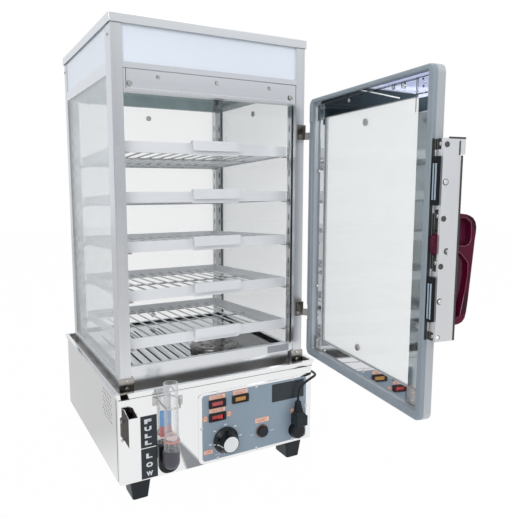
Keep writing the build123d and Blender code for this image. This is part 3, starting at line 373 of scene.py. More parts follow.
# %% [markdown]
# The cabinet lamp's cord leaves its plug on the front, turns round the corner of the base,
# runs back along the right side and climbs behind the rear post to the header. It is one
# smooth spline through the same points as the solid tube, a little under 1.1 m long.

# %% Lamp cord
def at(x, y, z):
    """A place in metres, from millimetres whose height counts from the body's underside."""
    return Vector((x, y, z + foot_height)) * mm


cord_width = 4.8
cord_points = [
    (150.5, -222, 85.5), (150.5, -222, 102.5), (159, -222, 116.5), (178, -222.5, 126),
    (194.5, -217, 128), (201.5, -199, 127.5), (203, -160, 125), (203, -92, 119),
    (203.5, -22, 115.5), (202.5, 52, 117.5), (203.5, 122, 120), (203, 176, 124), (203, 204, 130),
    (194, 223, 143), (184, 228, 168), (181, 226, 205), (179.5, 217, 262), (178, 206, 330),
    (176.5, 198.5, 400), (176, 195, 470), (174.5, 193, 540), (171.5, 191, 610), (168, 190, 660),
    (168, 190, 702),
]
cord_curve = bpy.data.curves.new("cabinet_lamp_cord", "CURVE")
cord_curve.dimensions = "3D"
line = cord_curve.splines.new("NURBS")
line.points.add(len(cord_points) - 1)
for point, (x, y, z) in zip(line.points, cord_points):
    point.co = (*at(x, y, z), 1)
line.order_u = 3
line.use_endpoint_u = True
cord_curve.bevel_depth = cord_width / 2 * mm
cord_curve.bevel_resolution = 4
cord_curve.resolution_u = 8
cord_curve.use_fill_caps = True
cord_curve.materials.append(black_rubber)
cabinet_lamp_cord = bpy.data.objects.new("cabinet_lamp_cord", cord_curve)
bpy.context.collection.objects.link(cabinet_lamp_cord)
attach(cabinet_lamp_cord, "case")
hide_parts("lamp_cord")
print("cord through", len(cord_points), "points")

# %% [markdown]
# The next pieces are only in this file: printing a fraction of a millimetre thick, the letters
# beside the gauge and the soft shapes of the moulded handle. Each starts as a primitive, or as a
# merged copy of its solid, and is shaped in edit mode, so four short helpers do the steps that
# repeat: open a piece, pick what to work on, paint what is picked, and close the piece.

# %% Modelling helpers
def begin(name, *mats):
    """Name the new primitive, put its size in its mesh and open it in edit mode."""
    piece = bpy.context.object
    piece.name = name
    for mat in mats:
        piece.data.materials.append(mat)
    bpy.ops.object.transform_apply(location=True, rotation=True, scale=True)
    bpy.ops.object.mode_set(mode="EDIT")
    return piece


def pick(piece, kind, test):
    """Select the vertices, edges or faces that pass a test, and nothing else."""
    bpy.ops.mesh.select_mode(type=kind)
    bpy.ops.mesh.select_all(action="DESELECT")
    shape = bmesh.from_edit_mesh(piece.data)
    for item in {"VERT": shape.verts, "EDGE": shape.edges, "FACE": shape.faces}[kind]:
        if test(item):
            item.select_set(True)
    bmesh.update_edit_mesh(piece.data)


def paint(piece, number):
    """Give the selected faces one of the piece's finishes."""
    shape = bmesh.from_edit_mesh(piece.data)
    for face in shape.faces:
        if face.select:
            face.material_index = number
    bmesh.update_edit_mesh(piece.data)


def close(piece, body):
    """Leave edit mode and let the piece ride on its body."""
    bpy.ops.object.mode_set(mode="OBJECT")
    bpy.ops.object.select_all(action="DESELECT")
    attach(piece, body)
    return piece


# %% [markdown]
# The facing of the panel is a printed sheet. Over each lamp, switch and button is a pale patch
# with an orange edge, and the rocker and the socket have round ones. A patch is a thin block: its
# corners are rounded with a bevel, its front is inset, and the inner face gets the second ink.
# The only words are the plain ones that any switch and lamp has.

# %% Printing inks
ink_pale = finish("ink_pale", (0.86, 0.70, 0.62), 0.4, drift=0.03, size=60.0)
ink_orange = finish("ink_orange", (0.72, 0.27, 0.15), 0.4, drift=0.12, size=160.0)
ink_white = finish("ink_white", (0.80, 0.83, 0.86), 0.4, drift=0.03, size=60.0)
ink_soft = finish("ink_soft", (0.56, 0.62, 0.68), 0.4, drift=0.03, size=60.0)
panel_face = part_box("control_label")[0].y / mm
ink_depth = 0.5


def patch(name, x, z, width, height, line=0.9, corner=1.2, inks=(ink_orange, ink_pale),
          slot="panel_blue"):
    """A thin rounded block on the panel, with an edge in one ink and its middle in another."""
    bpy.ops.mesh.primitive_cube_add(size=1, location=at(x, panel_face, z),
                                    scale=Vector((width, ink_depth, height)) * mm)
    piece = begin(name, *inks)
    pick(piece, "EDGE", lambda edge: abs(edge.verts[0].co.y - edge.verts[1].co.y) > 0.1 * mm)
    bpy.ops.mesh.bevel(offset=corner * mm, segments=3, affect="EDGES")
    pick(piece, "FACE", lambda face: face.normal.y < -0.9)
    bpy.ops.mesh.inset(thickness=line * mm)
    paint(piece, 1)
    return close(piece, "case")


for name, *measures in (
        ("lamp_patch", -14.2, 122.0, 31.6, 8.5), ("ready_patch", 32.3, 122.8, 30.5, 9.0),
        ("switch_patch", -14.2, 97.6, 31.7, 8.1), ("reset_patch", 77.2, 60.2, 29.9, 9.8),
        ("off_patch", -32.3, 22.9, 18.4, 8.4)):
    patch(name, *measures)
for name, x, z in (("off_spot", -37.4, 85.3), ("on_spot", 8.9, 86.0), ("socket_spot", 144.4, 65.1)):
    patch(name, x, z, 11, 11, line=1.5, corner=5.4)
patch("notice_plate", 133.8, 106.6, 70.7, 34.7, line=1.0, corner=1.5,
      inks=(black_print, black_print), slot="black_label")
print("panel face at", panel_face)

# %% [markdown]
# The dial needs numbers, and the gauge has a level word on each of its two plates. Letters are
# text objects made into meshes before they are sized and stood upright on their face. A small
# offset fattens the strokes, which makes the heavy block letters that such plates have.

# %% Letters and numbers
def lettering(name, text, x, z, width, height, face, ink, slot, fat):
    """Words as a thin mesh on a face that looks to the front, sized to width by height."""
    proud = 0.1
    bpy.ops.object.text_add()
    words = bpy.context.object
    words.data.body = text
    words.data.extrude = 0.02
    words.data.offset = fat
    words.data.resolution_u = 4
    bpy.ops.object.convert(target="MESH")
    words = bpy.context.object
    bpy.ops.object.origin_set(type="ORIGIN_GEOMETRY", center="BOUNDS")
    size = words.dimensions
    words.scale = Vector((width / size.x, height / size.y, 4 * proud / size.z)) * mm
    words.rotation_euler = (radians(90), 0, 0)
    words.location = at(x, face - proud, z)
    begin(name, ink)
    bpy.ops.mesh.select_all(action="SELECT")
    bpy.ops.mesh.remove_doubles(threshold=0.001 * mm)
    return close(words, "case")


plate_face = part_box("level_label")[0].y / mm
level_words = (("F", 103.4, -141.0, 12.2, 7.9), ("U", 90.7, -141.0, 12.0, 7.6),
               ("L", 78.2, -141.0, 11.6, 7.4), ("L", 66.2, -141.0, 11.6, 7.4),
               ("L", 42.8, -139.8, 10.6, 8.4), ("O", 27.0, -139.7, 11.6, 8.6),
               ("W", 11.3, -139.6, 11.4, 8.2))
for number, (letter, z, x, width, height) in enumerate(level_words):
    lettering(f"level_letter_{number}", letter, x, z, width, height, plate_face, ink_white,
              "black_label", fat=0.055)
dial_numbers = (("20", -28.4, 35.8, 5.6), ("40", -19.6, 59.0, 5.4), ("60", 1.6, 67.4, 5.8),
                ("80", 21.4, 60.2, 5.2), ("100", 31.4, 41.0, 6.6))
for number, (text, x, z, width) in enumerate(dial_numbers):
    lettering(f"dial_number_{number}", text, x, z, width, 3.0, panel_face, ink_white,
              "panel_blue", fat=0.03)
for name, *words in (
        ("power_word", "POWER", -14.2, 122.0, 25.0, 4.6),
        ("ready_word", "READY", 32.3, 122.8, 24.0, 4.8),
        ("heat_word", "HEATER", -14.2, 97.6, 25.0, 4.4),
        ("reset_word", "RESET", 77.2, 60.2, 23.0, 5.2),
        ("dial_off_word", "OFF", -32.3, 22.9, 12.5, 4.6),
        ("off_mark", "OFF", -37.4, 85.3, 6.6, 3.6), ("on_mark", "ON", 8.9, 86.0, 5.8, 3.6)):
    lettering(name, *words, panel_face - 0.3, ink_orange, "panel_blue", fat=0.025)
print(len(level_words), "level letters on the plates at", plate_face)

# %% [markdown]
# Two thin rings are printed on the facing, one round most of the dial and one round the reset
# button. The ring's section, a small rectangle, is set at its start and spun round the middle.
# The dial's ring ends in a bar and a dot, and a bar stands at each side of the reset button.

# %% Printed arcs
def arc(name, x, z, radius, width, start, sweep, ink, face=panel_face):
    """A thin printed arc, counted in degrees from the right and upwards."""
    angle = radians(start)
    bpy.ops.mesh.primitive_plane_add(
        size=1, location=at(x + radius * cos(angle), face, z + radius * sin(angle)),
        rotation=(0, -angle, 0))
    bpy.context.object.scale = (width * mm, ink_depth * mm, 1)
    piece = begin(name, ink)
    bpy.ops.mesh.select_all(action="SELECT")
    bpy.ops.mesh.spin(steps=32, angle=radians(sweep), axis=(0, -1, 0), center=at(x, face, z))
    bpy.ops.mesh.select_all(action="SELECT")
    bpy.ops.mesh.normals_make_consistent(inside=False)
    return close(piece, "case")


knob_x, knob_z, knob_front = 1.8, 39.0, -211.0
dial_arc = arc("dial_arc", knob_x, knob_z, 25.2, 0.8, 7, 164, ink_soft)
collar_face = -213.7
reset_arc = arc("reset_arc", 77.3, 38.7, 11.2, 0.7, 15, 335, ink_orange, face=collar_face)
for name, *measures in (
        ("dial_bar", -13.4, 14.6, 11.9, 1.3, 0.2, 0.4),
        ("dial_stop", -0.6, 12.3, 2.6, 2.6, 0.4, 1.2),
        ("reset_left", 56.0, 35.0, 8.4, 1.4, 0.2, 0.4),
        ("reset_right", 98.4, 35.8, 9.4, 1.6, 0.2, 0.4)):
    patch(name, *measures, inks=(ink_soft, ink_soft))
print("arcs", dial_arc.dimensions[:], reset_arc.dimensions[:])

# %% [markdown]
# The knob has a white line from the foot of its skirt up to its white face. It starts as a small
# plane across the line's path and is extruded from point to point along the knob's own outline.

# %% Knob pointer
pointer_angle = radians(187)
pointer_path = ((24.15, -2.4), (24.15, -5.5), (21.65, -8.15), (18.15, -12.1), (16.2, -22.4),
                (15.75, -24.9))
line_way = Vector((cos(pointer_angle), 0, sin(pointer_angle)))


def on_knob(out, forward):
    """A place on the line's path: so far out from the knob's axis and so far forward."""
    return at(knob_x, knob_front + forward, knob_z) + line_way * out * mm


bpy.ops.mesh.primitive_plane_add(size=1, location=on_knob(*pointer_path[0]),
                                 rotation=(radians(90), -pointer_angle, 0))
bpy.context.object.scale = (0.9 * mm, 1.4 * mm, 1)
pointer = begin("knob_pointer", knob_white)
bpy.ops.mesh.select_all(action="SELECT")
for here, there in zip(pointer_path, pointer_path[1:]):
    step = on_knob(*there) - on_knob(*here)
    bpy.ops.mesh.extrude_region_move(TRANSFORM_OT_translate={"value": step})
bpy.ops.mesh.select_all(action="SELECT")
bpy.ops.mesh.normals_make_consistent(inside=False)
close(pointer, "thermostat_knob")
print("pointer", [round(v / mm, 1) for v in pointer.dimensions])

# %% [markdown]
# The handle is one glossy moulding with a hooked grip, a pocket for the thumb and a long one for
# the fingers. A merged copy of the solid is turned to the closed door's frame, where its sides are
# square. The outline of both sides is then rounded far over, and the lips of the pockets a little,
# in a brighter finish whose lighter colour is partly a painted highlight. The flat sides and the
# floors of the pockets catch less of the room, and the darker finish of the flat sides is painted
# shade.

# %% The open door, and merged copies of solids
hinge_at = Vector((0.189, -0.206, 0))
door_angle = radians(82.5)
door_swing = (Matrix.Translation(hinge_at) @ Matrix.Rotation(door_angle, 4, "Z")
              @ Matrix.Translation(-hinge_at))


def merged_copy(source, name, *mats, turn=Matrix()):
    """Open a copy of a CAD node in edit mode, with its loose triangles merged and new finishes."""
    mesh = nodes[source].data.copy()
    piece = bpy.data.objects.new(name, mesh)
    bpy.context.collection.objects.link(piece)
    mesh.transform(turn)
    mesh.materials.clear()
    for mat in mats:
        mesh.materials.append(mat)
    bpy.context.view_layer.objects.active = piece
    piece.select_set(True)
    bpy.ops.object.mode_set(mode="EDIT")
    bpy.ops.mesh.select_all(action="SELECT")
    bpy.ops.mesh.remove_doubles(threshold=0.01 * mm)
    return piece


# %% Handle
side_left, side_right = -176.6, -144.0
pocket_front = -222.0
outline = [(-230, 310.7), (-235.5, 311.3), (-241.4, 313.7), (-245.6, 318.8), (-247.6, 327),
           (-249.5, 342.9), (-252.4, 374.9), (-254.5, 406.7), (-255.9, 422.5), (-257.1, 432),
           (-257.3, 440), (-255.5, 446.5), (-251.5, 451.5), (-245.5, 454.7), (-240, 456.4),
           (-230.7, 457.5)]
lips = [(-227, 452), (-240, 451.6), (-247.7, 446.2), (-248.9, 441), (-249.3, 422.7),
        (-246.3, 417.6), (-239.9, 415.2), (-227, 416.8), (-227, 410), (-235.3, 404),
        (-242.7, 396.7), (-246.3, 392.5), (-246.5, 376.6), (-243.6, 356.7), (-239.9, 336.9),
        (-236.7, 322.3), (-227, 316.5)]


def beside(x):
    """Whether a place lies in one of the handle's two outer sides."""
    return min(abs(x / mm - side) for side in (side_left, side_right)) < 0.2


def near_points(points):
    """A test for edges on either side of the handle that join two of the given points."""
    spots = [at(0, y, z).yz for y, z in points]

    def test(edge):
        ends = [vert.co for vert in edge.verts]
        on_side = all(beside(end.x) for end in ends) and abs(ends[0].x - ends[1].x) < 0.2 * mm
        return on_side and len(edge.link_faces) == 2 and edge.calc_face_angle() > 1.0 and all(
            min((end.yz - spot).length for spot in spots) < 0.6 * mm for end in ends)
    return test


def across_handle(test):
    """A test for upright faces of the grip whose middle passes a test across the handle."""
    return lambda face: (abs(face.normal.x) > 0.9 and test(face.calc_center_median().x)
                         and face.calc_center_median().y / mm < pocket_front)


handle = merged_copy("latch_handle", "moulded_handle", maroon, maroon_lip_highlight, maroon_shade,
                     maroon_floor, turn=door_swing.inverted())
bpy.ops.mesh.dissolve_limited(angle_limit=radians(2))
pick(handle, "FACE", across_handle(beside))
paint(handle, 2)
pick(handle, "FACE", across_handle(lambda x: side_left + 5 < x / mm < side_right - 5))
paint(handle, 3)
pick(handle, "EDGE", near_points(outline))
bpy.ops.mesh.bevel(offset=5.5 * mm, segments=6, affect="EDGES", clamp_overlap=True)
pick(handle, "EDGE", near_points(lips))
bpy.ops.mesh.bevel(offset=1.3 * mm, segments=3, affect="EDGES", clamp_overlap=True, material=1)
bpy.ops.object.mode_set(mode="OBJECT")
handle.data.transform(door_swing)
bpy.ops.object.shade_smooth_by_angle(angle=radians(42))
close(handle, "door_handle")
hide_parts("latch_handle")
print("handle", len(handle.data.vertices), "vertices, size",
      [round(v / mm, 1) for v in handle.dimensions])

# %% [markdown]
# The dark cover of the latch carries bright screw heads. They stand proud towards the cabinet, so
# the piece's own coordinates, taken square to the open door, tell them from the cover. Places on
# the door are easiest to give as if it were closed, so the zeros of its own axes are found here.

# %% Bright heads on the latch
door_inward = Vector((-sin(door_angle), cos(door_angle), 0))
door_along = Vector((cos(door_angle), sin(door_angle), 0))
inward_zero = (hinge_at.dot(door_inward) - hinge_at.y) / mm
along_zero = (hinge_at.dot(door_along) - hinge_at.x) / mm
second_finish(dark_plate, ((door_inward, 1, -197.8 + inward_zero),), (0.80, 0.79, 0.78), 1.0, 0.2)

# %% [markdown]
# The gasket wraps round to the free edge of the door, where its side lies in the dark channel of
# the latch and is painted near black as painted shade. The polished band behind the pane mirrors a
# dark room on its hinge side and a pale one on its free side, with a bright line between them.
# These painted reflections and the painted highlight line are laid on along slanting lines.

# %% Door band and gasket tones
def door_limit(side, value):
    """A limit for second_finish along the closed door: 1 past or -1 before a place."""
    return door_along, side, value + along_zero


# Painted shade: the side of the gasket is near black where it lies in the latch channel.
second_finish(seal_rubber, (door_limit(-1, -163.6), above(291), below(552)), (0.030, 0.033, 0.036),
              0.0, 0.4)
slant = 0.213 * door_along + Vector((0, 0, -0.977))
slant_at = 0.213 * (-5.9 + along_zero) - 0.977 * (638.0 + foot_height)
highlight_line = 0.252 * door_along + Vector((0, 0, -0.968))
highlight_line_at = 0.252 * (19.0 + along_zero) - 0.968 * (639.1 + foot_height)
top_band, free_side = above(598), door_limit(-1, -118)
# Painted reflections on the band: darker grey low on its free side, pale lavender and dark teal at
# the top on the two sides of a slanting line, a painted highlight along a line beside it, and a
# dark strip high on the free side.
second_finish(mirror_steel, (free_side, below(588)), (0.42, 0.46, 0.47), 1.0, 0.06)
second_finish(mirror_steel, ((slant, -1, slant_at), above(613)), (0.55, 0.58, 0.74), 1.0, 0.06,
              soft=0.8)
second_finish(mirror_steel, ((slant, 1, slant_at), top_band, door_limit(1, -117),
                             door_limit(-1, 141)), (0.028, 0.044, 0.058), 1.0, 0.08, soft=0.8)
second_finish(mirror_steel, ((highlight_line, 1, highlight_line_at - 0.9), (highlight_line, -1, highlight_line_at + 0.7),
                             door_limit(1, -81), door_limit(-1, 22), top_band),
              (0.92, 0.92, 0.93), 1.0, 0.1, soft=0.3)
second_finish(mirror_steel, (free_side, above(589.5), below(611.5)), (0.035, 0.052, 0.062), 1.0,
              0.08)
# The fittings at the top of the band take painted reflections too: lavender on the free side, dark
# teal at the hinge end.
fittings = plated.copy()
fittings.name = "fittings"
second_finish(fittings, (free_side, top_band, (door_inward, -1, -197.0 + inward_zero)),
              (0.52, 0.54, 0.68), 1.0, 0.08)
second_finish(fittings, (door_limit(1, 138), top_band), (0.26, 0.30, 0.31), 1.0, 0.12)
dress(fittings, "door_fittings")
print("zero of the door's own axes", round(inward_zero, 1), round(along_zero, 1))

# %% [markdown]
# Beside the ejector the floor of the latch channel is dark with painted shade, each magnet shows
# two pale strips, and the folded edge of the cover is a thin dark line of painted shade. All of
# these are narrow blocks on the door. One helper sets a block in the closed door's frame and rounds
# its edges, and another swings it open.

# %% Strips on the latch
channel_shade = finish("channel_shade", (0.040, 0.036, 0.034), 0.35, metal=0.3, drift=0.2, size=40.0,
                      specular=0.25)
pole_pale = finish("pole_pale", (0.42, 0.52, 0.60), 0.35, metal=0.3, drift=0.06, size=40.0)
fold_dark = finish("fold_dark", (0.075, 0.070, 0.068), 0.4, metal=0.3, drift=0.15, size=40.0,
                   specular=0.25)


def settle(piece, body):
    """Close a piece. One that was made on the closed door is swung to the open door first."""
    if body == "door":
        bpy.ops.object.mode_set(mode="OBJECT")
        piece.data.transform(door_swing)
    return close(piece, body)


def block(name, low, high, *mats):
    """Open a block between two corners, in millimetres above the underside of the body."""
    low, high = at(*low), at(*high)
    bpy.ops.mesh.primitive_cube_add(size=1, location=(low + high) / 2, scale=high - low)
    return begin(name, *mats)


def strip(name, low, high, mat, round_off=0.25, body="door"):
    """A narrow block with rounded edges, on the closed door or on the case."""
    piece = block(name, low, high, mat)
    bpy.ops.mesh.select_all(action="SELECT")
    bpy.ops.mesh.bevel(offset=round_off * mm, segments=2, affect="EDGES")
    return settle(piece, body)


for number, (low, high) in enumerate(((475, 521), (321, 368))):
    for side, x in (("near", -174.6), ("far", -170.0)):
        strip(f"pole_{number}_{side}", (x, -191.0, low), (x + 2.3, -190.05, high), pole_pale)
# Painted shade on the floor of the latch channel beside the gasket.
for number, (low, high) in enumerate(((538, 551.5), (386, 458), (291.5, 303))):
    strip(f"channel_{number}", (-166.9, -196.6, low), (-161.6, -196.0, high), channel_shade)
# The thin dark line at the folded edge of the cover is painted shade.
strip("cover_fold_shade", (-178.8, -227.8, 291.0), (-177.2, -224.3, 530.8), fold_dark)
strip("cover_lip", (-178.8, -224.4, 291.0), (-177.2, -221.8, 530.8), latch_steel)
strip("cover_top", (-179.0, -231.0, 551.2), (-177.2, -205.0, 553.6), fold_dark)
strip("tab_slot", (-179.0, -223.2, 531.0), (-177.6, -221.0, 549.0), fold_dark)

# %% [markdown]
# The polished band has a hole and a screw near its free end, and a folded corner whose edges
# show as fine dark lines. The face of the latch has more holes and screws. Each is a short disc
# whose face is inset and pushed in a little, so that the rim and the floor differ.

# %% Marks on the door band and the latch
def disc(name, place, radius, facing, mats, body="door", depth=0.6, rim=0.3, sink=0.2):
    """A flat disc with an inset face, on the closed door or on the case."""
    facing = Vector(facing)
    bpy.ops.mesh.primitive_cylinder_add(
        vertices=24, radius=radius * mm, depth=depth * mm, location=at(*place),
        rotation=Vector(up).rotation_difference(facing).to_euler())
    piece = begin(name, *mats)
    pick(piece, "FACE", lambda face: face.normal.dot(facing) > 0.9)
    bpy.ops.mesh.inset(thickness=rim * radius * mm)
    bpy.ops.transform.translate(value=facing * -sink * mm)
    paint(piece, 1)
    return settle(piece, body)


outward = (-1, 0, 0)
disc("band_hole", (-65.3, -198.9, 630.5), 3.6, back, (fold_dark, dull_steel))
disc("band_screw", (-88.4, -198.8, 629.5), 4.6, back, (fold_dark, plated))
for number, (x, z) in enumerate(((-132.0, 630.5), (-133.0, 621.0))):
    disc(f"corner_hole_{number}", (x, -197.9, z), 1.5, back, (fold_dark, fold_dark))
strip("corner_line_up", (-119.2, -198.2, 590.0), (-118.2, -197.7, 636.0), fold_dark,
      0.1)
strip("corner_line_low", (-142.0, -198.2, 611.6), (-118.5, -197.7, 613.2), fold_dark,
      0.1)
hole_grey = finish("hole_grey", (0.085, 0.085, 0.088), 0.4, drift=0.3, size=200.0, specular=0.25)
# The dark rims round the countersunk latch screws are painted shade.
for kind, radius, inner, places in (
        ("hole", 3.7, hole_grey, ((-202.0, 544.0), (-201.6, 451.4), (-200.5, 390.3))),
        ("countersink", 4.1, hinge_steel, ((-202.2, 497.4), (-208.6, 409.6), (-201.2, 344.6)))):
    for number, (y, z) in enumerate(places):
        disc(f"latch_{kind}_{number}", (-178.8, y, z), radius, outward, (fold_dark, inner))
    print(len(places), kind, "marks on the latch")

# %% [markdown]
# Along the top the gasket is narrower than at the sides, and the band runs up behind it. A merged
# copy of the gasket has its top inner edge moved up in edit mode, and a strip fills the gap.

# %% Gasket
def top_inner(vertex):
    """Whether a vertex is on the inner edge of the gasket's top side, apart from the corners."""
    along = vertex.co.dot(door_along) / mm - along_zero
    return -154.8 < along < 167.8 and 631.9 < vertex.co.z / mm - foot_height < 637.0


gasket = merged_copy("door_gasket", "gasket", seal_rubber)
pick(gasket, "VERT", top_inner)
bpy.ops.transform.translate(value=(0, 0, 4.5 * mm))
close(gasket, "door")
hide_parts("door_gasket")
strip("band_top", (-152.0, -195.6, 633.3), (165.0, -194.9, 639.0), mirror_steel)
print("gasket", len(gasket.data.polygons), "faces")

# %% [markdown]
# The water inlet is a folded pocket whose left side looks dark, because it mirrors the unlit wall
# behind it, and whose inside lies in shade. A merged copy of the solid takes the steel of the base,
# and the faces of that side and of the inside get the darker finish, picked by their direction and
# place: a painted dark reflection on the side and painted shade inside.

# %% Water inlet
inlet_dark = finish("inlet_dark", (0.052, 0.046, 0.040), 0.5, drift=0.5, size=60.0,
                    grain=(1, 1, 0.3), rough_drift=0.3, specular=0.14)
inlet_left, inlet_right = -180.5, -165.3
inlet_front, inlet_back = -237.0, -210.5
inlet_floor = 79.0


def dark_side(face):
    """Whether a face is on the pocket's left side, or is one of the upright faces inside it."""
    x, y, z = face.calc_center_median() / mm
    left = face.normal.x < -0.9 and abs(x - inlet_left) < 0.5
    inside = (inlet_left + 1 < x < inlet_right and inlet_front < y < inlet_back
              and z > inlet_floor + foot_height
              and max(abs(face.normal.x), abs(face.normal.y)) > 0.9)
    return left or inside


inlet = merged_copy("fill_hopper", "water_inlet", base_steel, inlet_dark)
bpy.ops.mesh.dissolve_limited(angle_limit=radians(2))
pick(inlet, "FACE", dark_side)
paint(inlet, 1)
pick(inlet, "EDGE", lambda edge: len(edge.link_faces) == 2 and edge.calc_face_angle() > 1.0)
bpy.ops.mesh.bevel(offset=0.25 * mm, segments=2, affect="EDGES", clamp_overlap=True)
close(inlet, "case")
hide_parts("fill_hopper")
print("inlet", len(inlet.data.polygons), "faces")

# %% [markdown]
# Each screw of the front rail sits in a small countersink, whose shade reads as a dark ring round
# the head. The ring is a flat disc under the head whose face is inset, and its dark rim is painted
# shade.

# %% Countersinks
rail_screws = ((-149.5, 650.5, 4.6), (-103.2, 664.0, 2.6), (-0.4, 664.0, 2.6), (102.6, 664.0, 2.6),
               (147.0, 650.3, 4.6))
for number, (x, z, radius) in enumerate(rail_screws):
    disc(f"rail_countersink_{number}", (x, -188.1, z), radius, (0, -1, 0), (fold_dark, plated),
         body="case", depth=0.3, rim=0.4, sink=0.0)
print(len(rail_screws), "countersinks")

# %% [markdown]
# Behind the rubber boot of the gauge a black seat closes the hole in the base. It is a thin block
# with two round lower corners. The folded corner and the rim of the base get dark lines of painted
# shade and reflection in their bends, the sill a grey painted reflection, and the front rail
# painted highlights along its edges and a dark seam at its end. All of these are strips like those
# of the latch.

# %% Gauge seat and seams of the case
seat = block("boot_seat", (-123.6, -213.5, 4.0), (-86.4, -211.1, 55.0), black_plastic)
pick(seat, "EDGE", lambda edge: abs(edge.verts[0].co.y - edge.verts[1].co.y) > 1.0 * mm
     and edge.verts[0].co.z < 50 * mm)
bpy.ops.mesh.bevel(offset=16.8 * mm, segments=12, affect="EDGES")
pick(seat, "FACE", lambda face: face.normal.y < -0.9)
bpy.ops.mesh.inset(thickness=0.8 * mm)
bpy.ops.transform.translate(value=(0, -0.6 * mm, 0))
close(seat, "case")

sill_reflection_grey = finish("sill_reflection_grey", (0.36, 0.37, 0.41), 0.3, metal=0.6, drift=0.08, size=30.0)
seam_and_shade_dark = finish("seam_and_shade_dark", (0.10, 0.10, 0.10), 0.4, drift=0.2, size=40.0, specular=0.3)
# Dark lines of painted shade and reflection in the bends of the base, a painted reflection on the
# sill, and painted highlights along the front rail.
for name, low, high, mat, round_off in (
        ("corner_shade_line", (-190.3, -201.0, 4.5), (-189.8, -199.8, 146.0), seam_and_shade_dark, 0.1),
        ("rim_shade_line", (-189.0, -211.8, 146.9), (189.0, -211.2, 147.9), seam_and_shade_dark, 0.1),
        ("sill_reflection", (104.0, -186.7, 176.5), (150.5, -185.9, 189.5), sill_reflection_grey, 0.3),
        ("rail_highlight_top", (-147.0, -188.7, 674.5), (147.0, -187.9, 676.0), latch_steel, 0.3),
        ("rail_highlight_low", (-147.0, -188.6, 643.0), (147.0, -187.9, 644.2), latch_steel, 0.3)):
    strip(name, low, high, mat, round_off, body="case")
strip("rail_end_seam", (-155.6, -188.4, 643.0), (-154.6, -187.8, 675.0), seam_and_shade_dark,
      0.1, body="case")
print("seat", [round(v / mm, 1) for v in seat.dimensions])

# %% [markdown]
# The room: a white table and a white surround for the camera. Polished steel has no colour of its
# own, so what the metal mirrors matters as much as the lamps. The table is a plane whose shader
# asks what kind of ray has met it: a mirror ray sees a table that is bright in front only.

# %% Table
bpy.ops.mesh.primitive_plane_add(size=12, location=(0, 0, 0))
floor = bpy.context.object
floor.name = "studio_floor"
floor_mat = bpy.data.materials.new("studio_floor")
floor_mat.use_nodes = True
tree = floor_mat.node_tree
shader = tree.nodes["Principled BSDF"]
shader.inputs["Base Color"].default_value = (0.86, 0.86, 0.86, 1)
shader.inputs["Roughness"].default_value = 0.9
shader.inputs["Specular IOR Level"].default_value = 0.1
path = add_node(tree, "LightPath")
place = add_node(tree, "TexCoord")["Object"]
depth = add_node(tree, "SeparateXYZ", {"Vector": place})["Y"]
distance = add_node(tree, "VectorMath", {0: place}, operation="LENGTH")["Value"]
front = add_node(tree, "MapRange", {"Value": depth, "From Min": 0.10, "From Max": -0.20})
near = add_node(tree, "MapRange", {"Value": distance, "From Min": 1.5, "From Max": 0.8})
bright = add_node(tree, "Math", {0: front["Result"], 1: near["Result"]}, operation="MULTIPLY")
mirrored = add_node(tree, "MapRange", {"Value": bright["Value"], "To Min": 0.66})
strength = add_node(tree, "Mix", {"Factor": path["Is Glossy Ray"], "A": 1.0,
                                  "B": mirrored["Result"]}, data_type="FLOAT")
glow = add_node(tree, "Emission", {"Color": (1, 1, 1, 1), "Strength": strength["Result"]})
seen = add_node(tree, "Math", {0: path["Is Camera Ray"], 1: path["Is Glossy Ray"]},
                operation="MAXIMUM")
share = add_node(tree, "Math", {0: seen["Value"], 1: 0.985}, operation="MULTIPLY")
blend = add_node(tree, "MixShader", {"Fac": share["Value"], 1: shader.outputs["BSDF"],
                                     2: glow["Emission"]})
tree.links.new(blend["Shader"], tree.nodes["Material Output"].inputs["Surface"])
floor.data.materials.append(floor_mat)
print("table", floor.dimensions[:])

# %% [markdown]
# The world has a look for each kind of ray too. The camera sees plain white, and mirror rays see a
# grey room at eye height, a bright ceiling, and one dark window on the left in front, which is what
# darkens the polished band of the open door.

# %% World
world = bpy.data.worlds.new("studio_world")
bpy.context.scene.world = world
world.use_nodes = True
tree = world.node_tree
lighting = tree.nodes["Background"]
lighting.inputs["Color"].default_value = (0.95, 0.97, 1.0, 1)
lighting.inputs["Strength"].default_value = 0.62
surround = add_node(tree, "Background", {"Color": (1, 1, 1, 1), "Strength": 1.0})
path = add_node(tree, "LightPath")
first = add_node(tree, "Math", {0: path["Is Camera Ray"], 1: path["Is Transmission Ray"]},
                 operation="MAXIMUM")
plain = add_node(tree, "MixShader", {"Fac": first["Value"], 1: lighting.outputs["Background"],
                                     2: surround["Background"]})

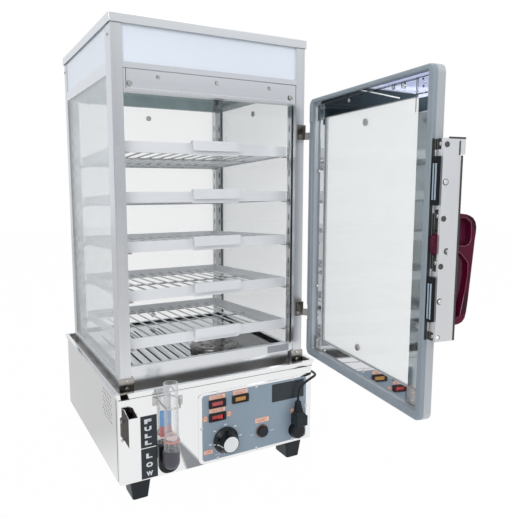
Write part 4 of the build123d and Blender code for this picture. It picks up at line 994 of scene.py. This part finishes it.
# %% What polished metal mirrors
aim = add_node(tree, "TexCoord")["Generated"]
parts = add_node(tree, "SeparateXYZ", {"Vector": aim})
behind = add_node(tree, "MapRange", {"Value": parts["Y"], "From Min": -0.3, "From Max": 0.5})
left = add_node(tree, "MapRange", {"Value": parts["X"], "From Min": -0.35, "From Max": -0.85})
window_at = Vector((-0.32, -0.94, 0.10)).normalized()
window = add_node(tree, "VectorMath", {0: aim, 1: window_at}, operation="DOT_PRODUCT")
spot = add_node(tree, "MapRange", {"Value": window["Value"],
                                   "From Min": cos(radians(30)),
                                   "From Max": cos(radians(18))})
room = add_ramp(tree, parts["Z"], ((0.0, (0.58, 0.60, 0.63)), (0.14, (0.66, 0.68, 0.71)),
                                   (0.26, (0.92, 0.93, 0.95)), (0.5, (1.0, 1.0, 1.0))))
for area, shade in ((behind, (0.88, 0.90, 0.93, 1)), (left, (0.70, 0.74, 0.79, 1)),
                    (spot, (0.035, 0.05, 0.06, 1))):
    room = add_node(tree, "Mix", {"Factor": area["Result"], "A": room, "B": shade},
                    data_type="RGBA")["Result"]
mirror_side = add_node(tree, "Background", {"Color": room})
outer = add_node(tree, "MixShader", {"Fac": path["Is Glossy Ray"], 1: plain["Shader"],
                                     2: mirror_side["Background"]})
tree.links.new(outer["Shader"], tree.nodes["World Output"].inputs["Surface"])
print("world of", len(tree.nodes), "nodes")

# %% [markdown]
# Three soft boxes light the case: two in front and one above. The one at the right is not mirrored,
# because its reflection would lie across the glass.

# %% Lamps
def soft_box(name, at, target, width, height, power):
    data = bpy.data.lights.new(name, "AREA")
    data.shape = "RECTANGLE"
    data.size = width
    data.size_y = height
    data.energy = power
    lamp = bpy.data.objects.new(name, data)
    lamp.location = at
    lamp.rotation_euler = (Vector(target) - Vector(at)).to_track_quat("-Z", "Y").to_euler()
    bpy.context.collection.objects.link(lamp)
    print(name, power, "W")
    return lamp


middle = (0.0, 0.0, 0.42)
soft_box("soft_front_left", (-1.6, -2.0, 1.6), middle, 1.4, 1.4, 20)
soft_box("soft_front_right", (1.8, -1.6, 1.2), middle, 1.2, 1.6, 10).visible_glossy = False
soft_box("soft_top", (0.0, 0.0, 2.4), middle, 1.6, 1.6, 12)

# %% [markdown]
# The Standard view keeps each colour as it was chosen.

# %% Colour handling
bpy.context.scene.view_settings.view_transform = "Standard"
